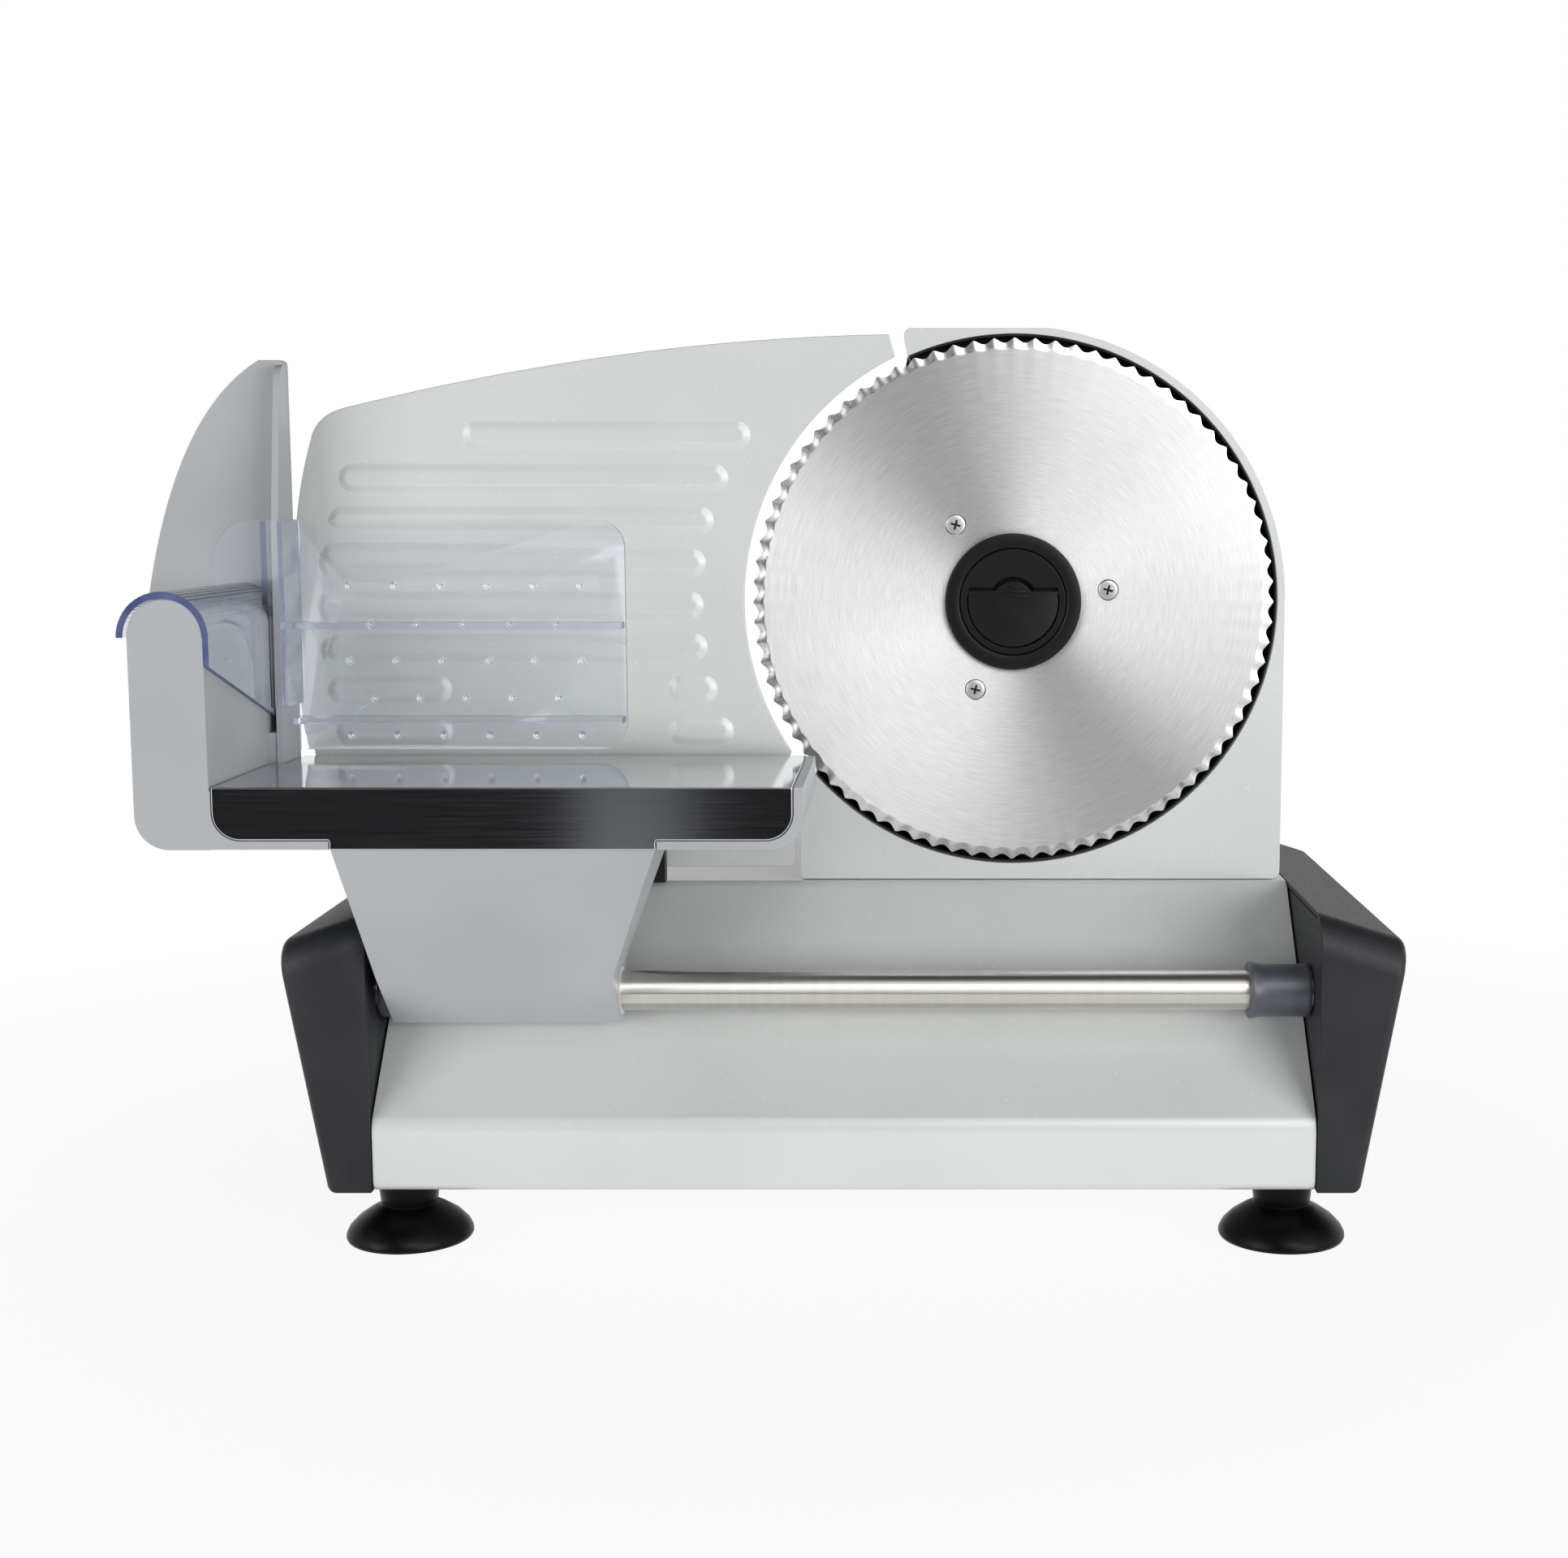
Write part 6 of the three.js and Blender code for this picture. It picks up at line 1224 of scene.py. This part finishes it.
# Food tray: polished stainless sheet on the carriage, folded down into a front lip and cut out round
# the guard's flange.
tray = pulled("steel_tray", [at(x, y, TRAY_TOP - TRAY_SHEET) for x, y in (
    (TRAY_LEFT, TRAY_FRONT), (TRAY_RIGHT, TRAY_FRONT), (TRAY_RIGHT, TRAY_BACK),
    (GUARD_RIGHT + 0.6, TRAY_BACK), (GUARD_RIGHT + 0.6, FLANGE_FRONT - 1),
    (TRAY_LEFT, FLANGE_FRONT - 1))], (0, 0, TRAY_SHEET * MM))
cut(tray, across("lip", lip_outline(0), TRAY_FRONT, lip_back), operation="UNION")
soften(tray, 0.7)
dress(tray, polished, "carriage", "polished_steel", "food_tray")


# Food pusher: one clear moulding with a ribbed half-tube grip on the rail, a wall beside it, a finger
# shield, a plate across the tray with two stiffening ribs, and rows of spikes that hold the food.
# Clear SAN: almost colourless in a thin wall, deep blue where the eye looks along it.
clear, tree, shader, place = surface("clear_blue_san", {
    "IOR": 1.5, "Transmission Weight": 1.0, "Base Color": linear("#fbfcff")})
flow = add(tree, "ShaderNodeTexNoise", {"Vector": place, "Scale": 1 / (18 * MM), "Detail": 2.0})
add(tree, "ShaderNodeMapRange", {"Value": flow, "To Min": 0.02, "To Max": 0.06}, to=shader["Roughness"])
add(tree, "ShaderNodeVolumeAbsorption", {"Color": (0.25, 0.38, 0.85, 1), "Density": 20.0},
    to=tree.nodes["Material Output"].inputs["Volume"])

PUSHER_WALL, PUSHER_TOP, PUSHER_FRONT = 2.2, 248, TRAY_FRONT - 2
TUBE_INNER = RAIL_RADIUS + 0.3
TUBE_OUTER = TUBE_INNER + PUSHER_WALL
pusher_back = GUARD_FRONT - 2
channel = FLANGE_FRONT - 1 - PUSHER_WALL
wall_low = RAIL_Z - 36.5
arm_left = GUARD_RIGHT + 0.6
arm_right = arm_left + PUSHER_WALL
plate_right = arm_left + 118.4
plate_back = TRAY_BACK - 2.6
plate_front = plate_back - PUSHER_WALL - 0.2
GROOVES, GROOVE_DEPTH, GROOVE_START = 26, 0.07, 20
ridged = []
for i, (x, z) in enumerate(arc(RAIL_X, RAIL_Z, TUBE_OUTER, 0, 180, 8 * GROOVES)):
    grooved = GROOVE_START < 180 * i / (8 * GROOVES) < 180 - GROOVE_START
    dip = GROOVE_DEPTH * (1 - math.cos(math.tau * i / 8)) / 2 if grooved else 0
    share = 1 - dip / TUBE_OUTER
    ridged.append((RAIL_X + (x - RAIL_X) * share, RAIL_Z + (z - RAIL_Z) * share))
pusher = across("clear_pusher", ridged + arc(RAIL_X, RAIL_Z, TUBE_INNER, 180, 0, 48), PUSHER_FRONT,
                pusher_back - 0.3)
shield = across("shield", filleted([
    (RAIL_X - 9.7, RAIL_Z + 0.3), (RAIL_X + TUBE_OUTER, RAIL_Z + 0.3), (RAIL_X + TUBE_OUTER, PUSHER_TOP),
    (RAIL_X - 9.7, PUSHER_TOP, 14)], 16), pusher_back - PUSHER_WALL, pusher_back)
cut(shield, drum(TUBE_INNER + 0.2, at(RAIL_X, -40, RAIL_Z), at(RAIL_X, 0, RAIL_Z), sides=96))
pusher_forms = [
    shield,
    sideways("wall", [
        (PUSHER_FRONT + STEP, RAIL_Z + 0.5), (PUSHER_FRONT + STEP, RAIL_Z - 9.3),
        (pusher_back - STEP, wall_low), (pusher_back - STEP, PUSHER_TOP - STEP),
        (channel, PUSHER_TOP - STEP), (channel, RAIL_Z + 0.5)],
        RAIL_X + TUBE_INNER + STEP, RAIL_X + TUBE_OUTER - STEP),
    across("cross",
           box_outline(RAIL_X + TUBE_INNER + 1, arm_right - STEP, wall_low + 8, PUSHER_TOP - 2 * STEP),
           channel + STEP, channel + PUSHER_WALL),
    across("arm", box_outline(arm_left + STEP, arm_right, wall_low + 8 + STEP, PUSHER_TOP - 3 * STEP),
           channel + 2 * STEP, plate_back - STEP),
    across("plate", filleted([
        (arm_left, TRAY_TOP + 2.8), (plate_right, TRAY_TOP + 2.8, 10), (plate_right, PUSHER_TOP, 10),
        (arm_left, PUSHER_TOP)], 12), plate_front, plate_back)]
RIB_DEEP = 10
for z in (RAIL_Z - 0.6, RAIL_Z - 34.4):
    outline = box_outline(arm_left + 0.6, plate_right - 0.4, z - PUSHER_WALL / 2, z + PUSHER_WALL / 2)
    pusher_forms.append(across("rib", outline, plate_front - RIB_DEEP, plate_front + 1))
cut(pusher, *pusher_forms, operation="UNION")
soften(pusher, 0.3, 2)
SPIKE = [(0, -1), (1.5, -1), (1.5, 0), (0.9, 1.3), (0.35, 2.6), (0.2, 2.8), (0, 2.8)]
SPIKE_PITCH, SPIKE_ROW_PITCH, SPIKE_TOP_ROW = 16.75, 13.5, RAIL_Z + 13.3
for row, count in enumerate((6, 5, 6, 5, 6)):
    z = SPIKE_TOP_ROW - SPIKE_ROW_PITCH * row
    for i in range(count):
        x = (arm_right + plate_right) / 2 + (i - (count - 1) / 2) * SPIKE_PITCH
        cut(pusher, turned("spike", SPIKE, at(x, plate_back, z), "y", 16), operation="UNION")
smooth(pusher, 30)
# Clear plastic passes nearly all light, so it throws no shadow here and dims no matt face.
pusher.visible_shadow = False
pusher.visible_diffuse = False
dress(pusher, clear, "pusher", "clear_plastic", "food_pusher")
# Cut edge of clear SAN: the deep blue of the light that runs inside the wall and leaves here is
# painted on as an opaque colour.
painted_edge_light, tree, shader, place = surface("blue_san_edge", {"IOR": 1.57})
run = add(tree, "ShaderNodeTexNoise", {"Vector": place, "Scale": 1 / (10 * MM), "Detail": 2.0})
add(tree, "ShaderNodeValToRGB", {"Fac": run}, ramp=[(0.3, "#3c4777"), (0.7, "#59648c")],
    to=shader["Base Color"])
add(tree, "ShaderNodeMapRange", {"Value": run, "To Min": 0.15, "To Max": 0.3}, to=shader["Roughness"])
# The tube's front end and the wall's underside get the painted blue edge light.
tube_end, wall_side = at(0, PUSHER_FRONT + 1, 0).y, at(RAIL_X + TUBE_INNER, 0, 0).x
refinish(pusher, painted_edge_light, lambda middle, way: middle.y < tube_end and way.y < -0.9 or (
    way.z < -0.9 and wall_side < middle.x < wall_side + PUSHER_WALL * MM and middle.z > wall_low * MM))
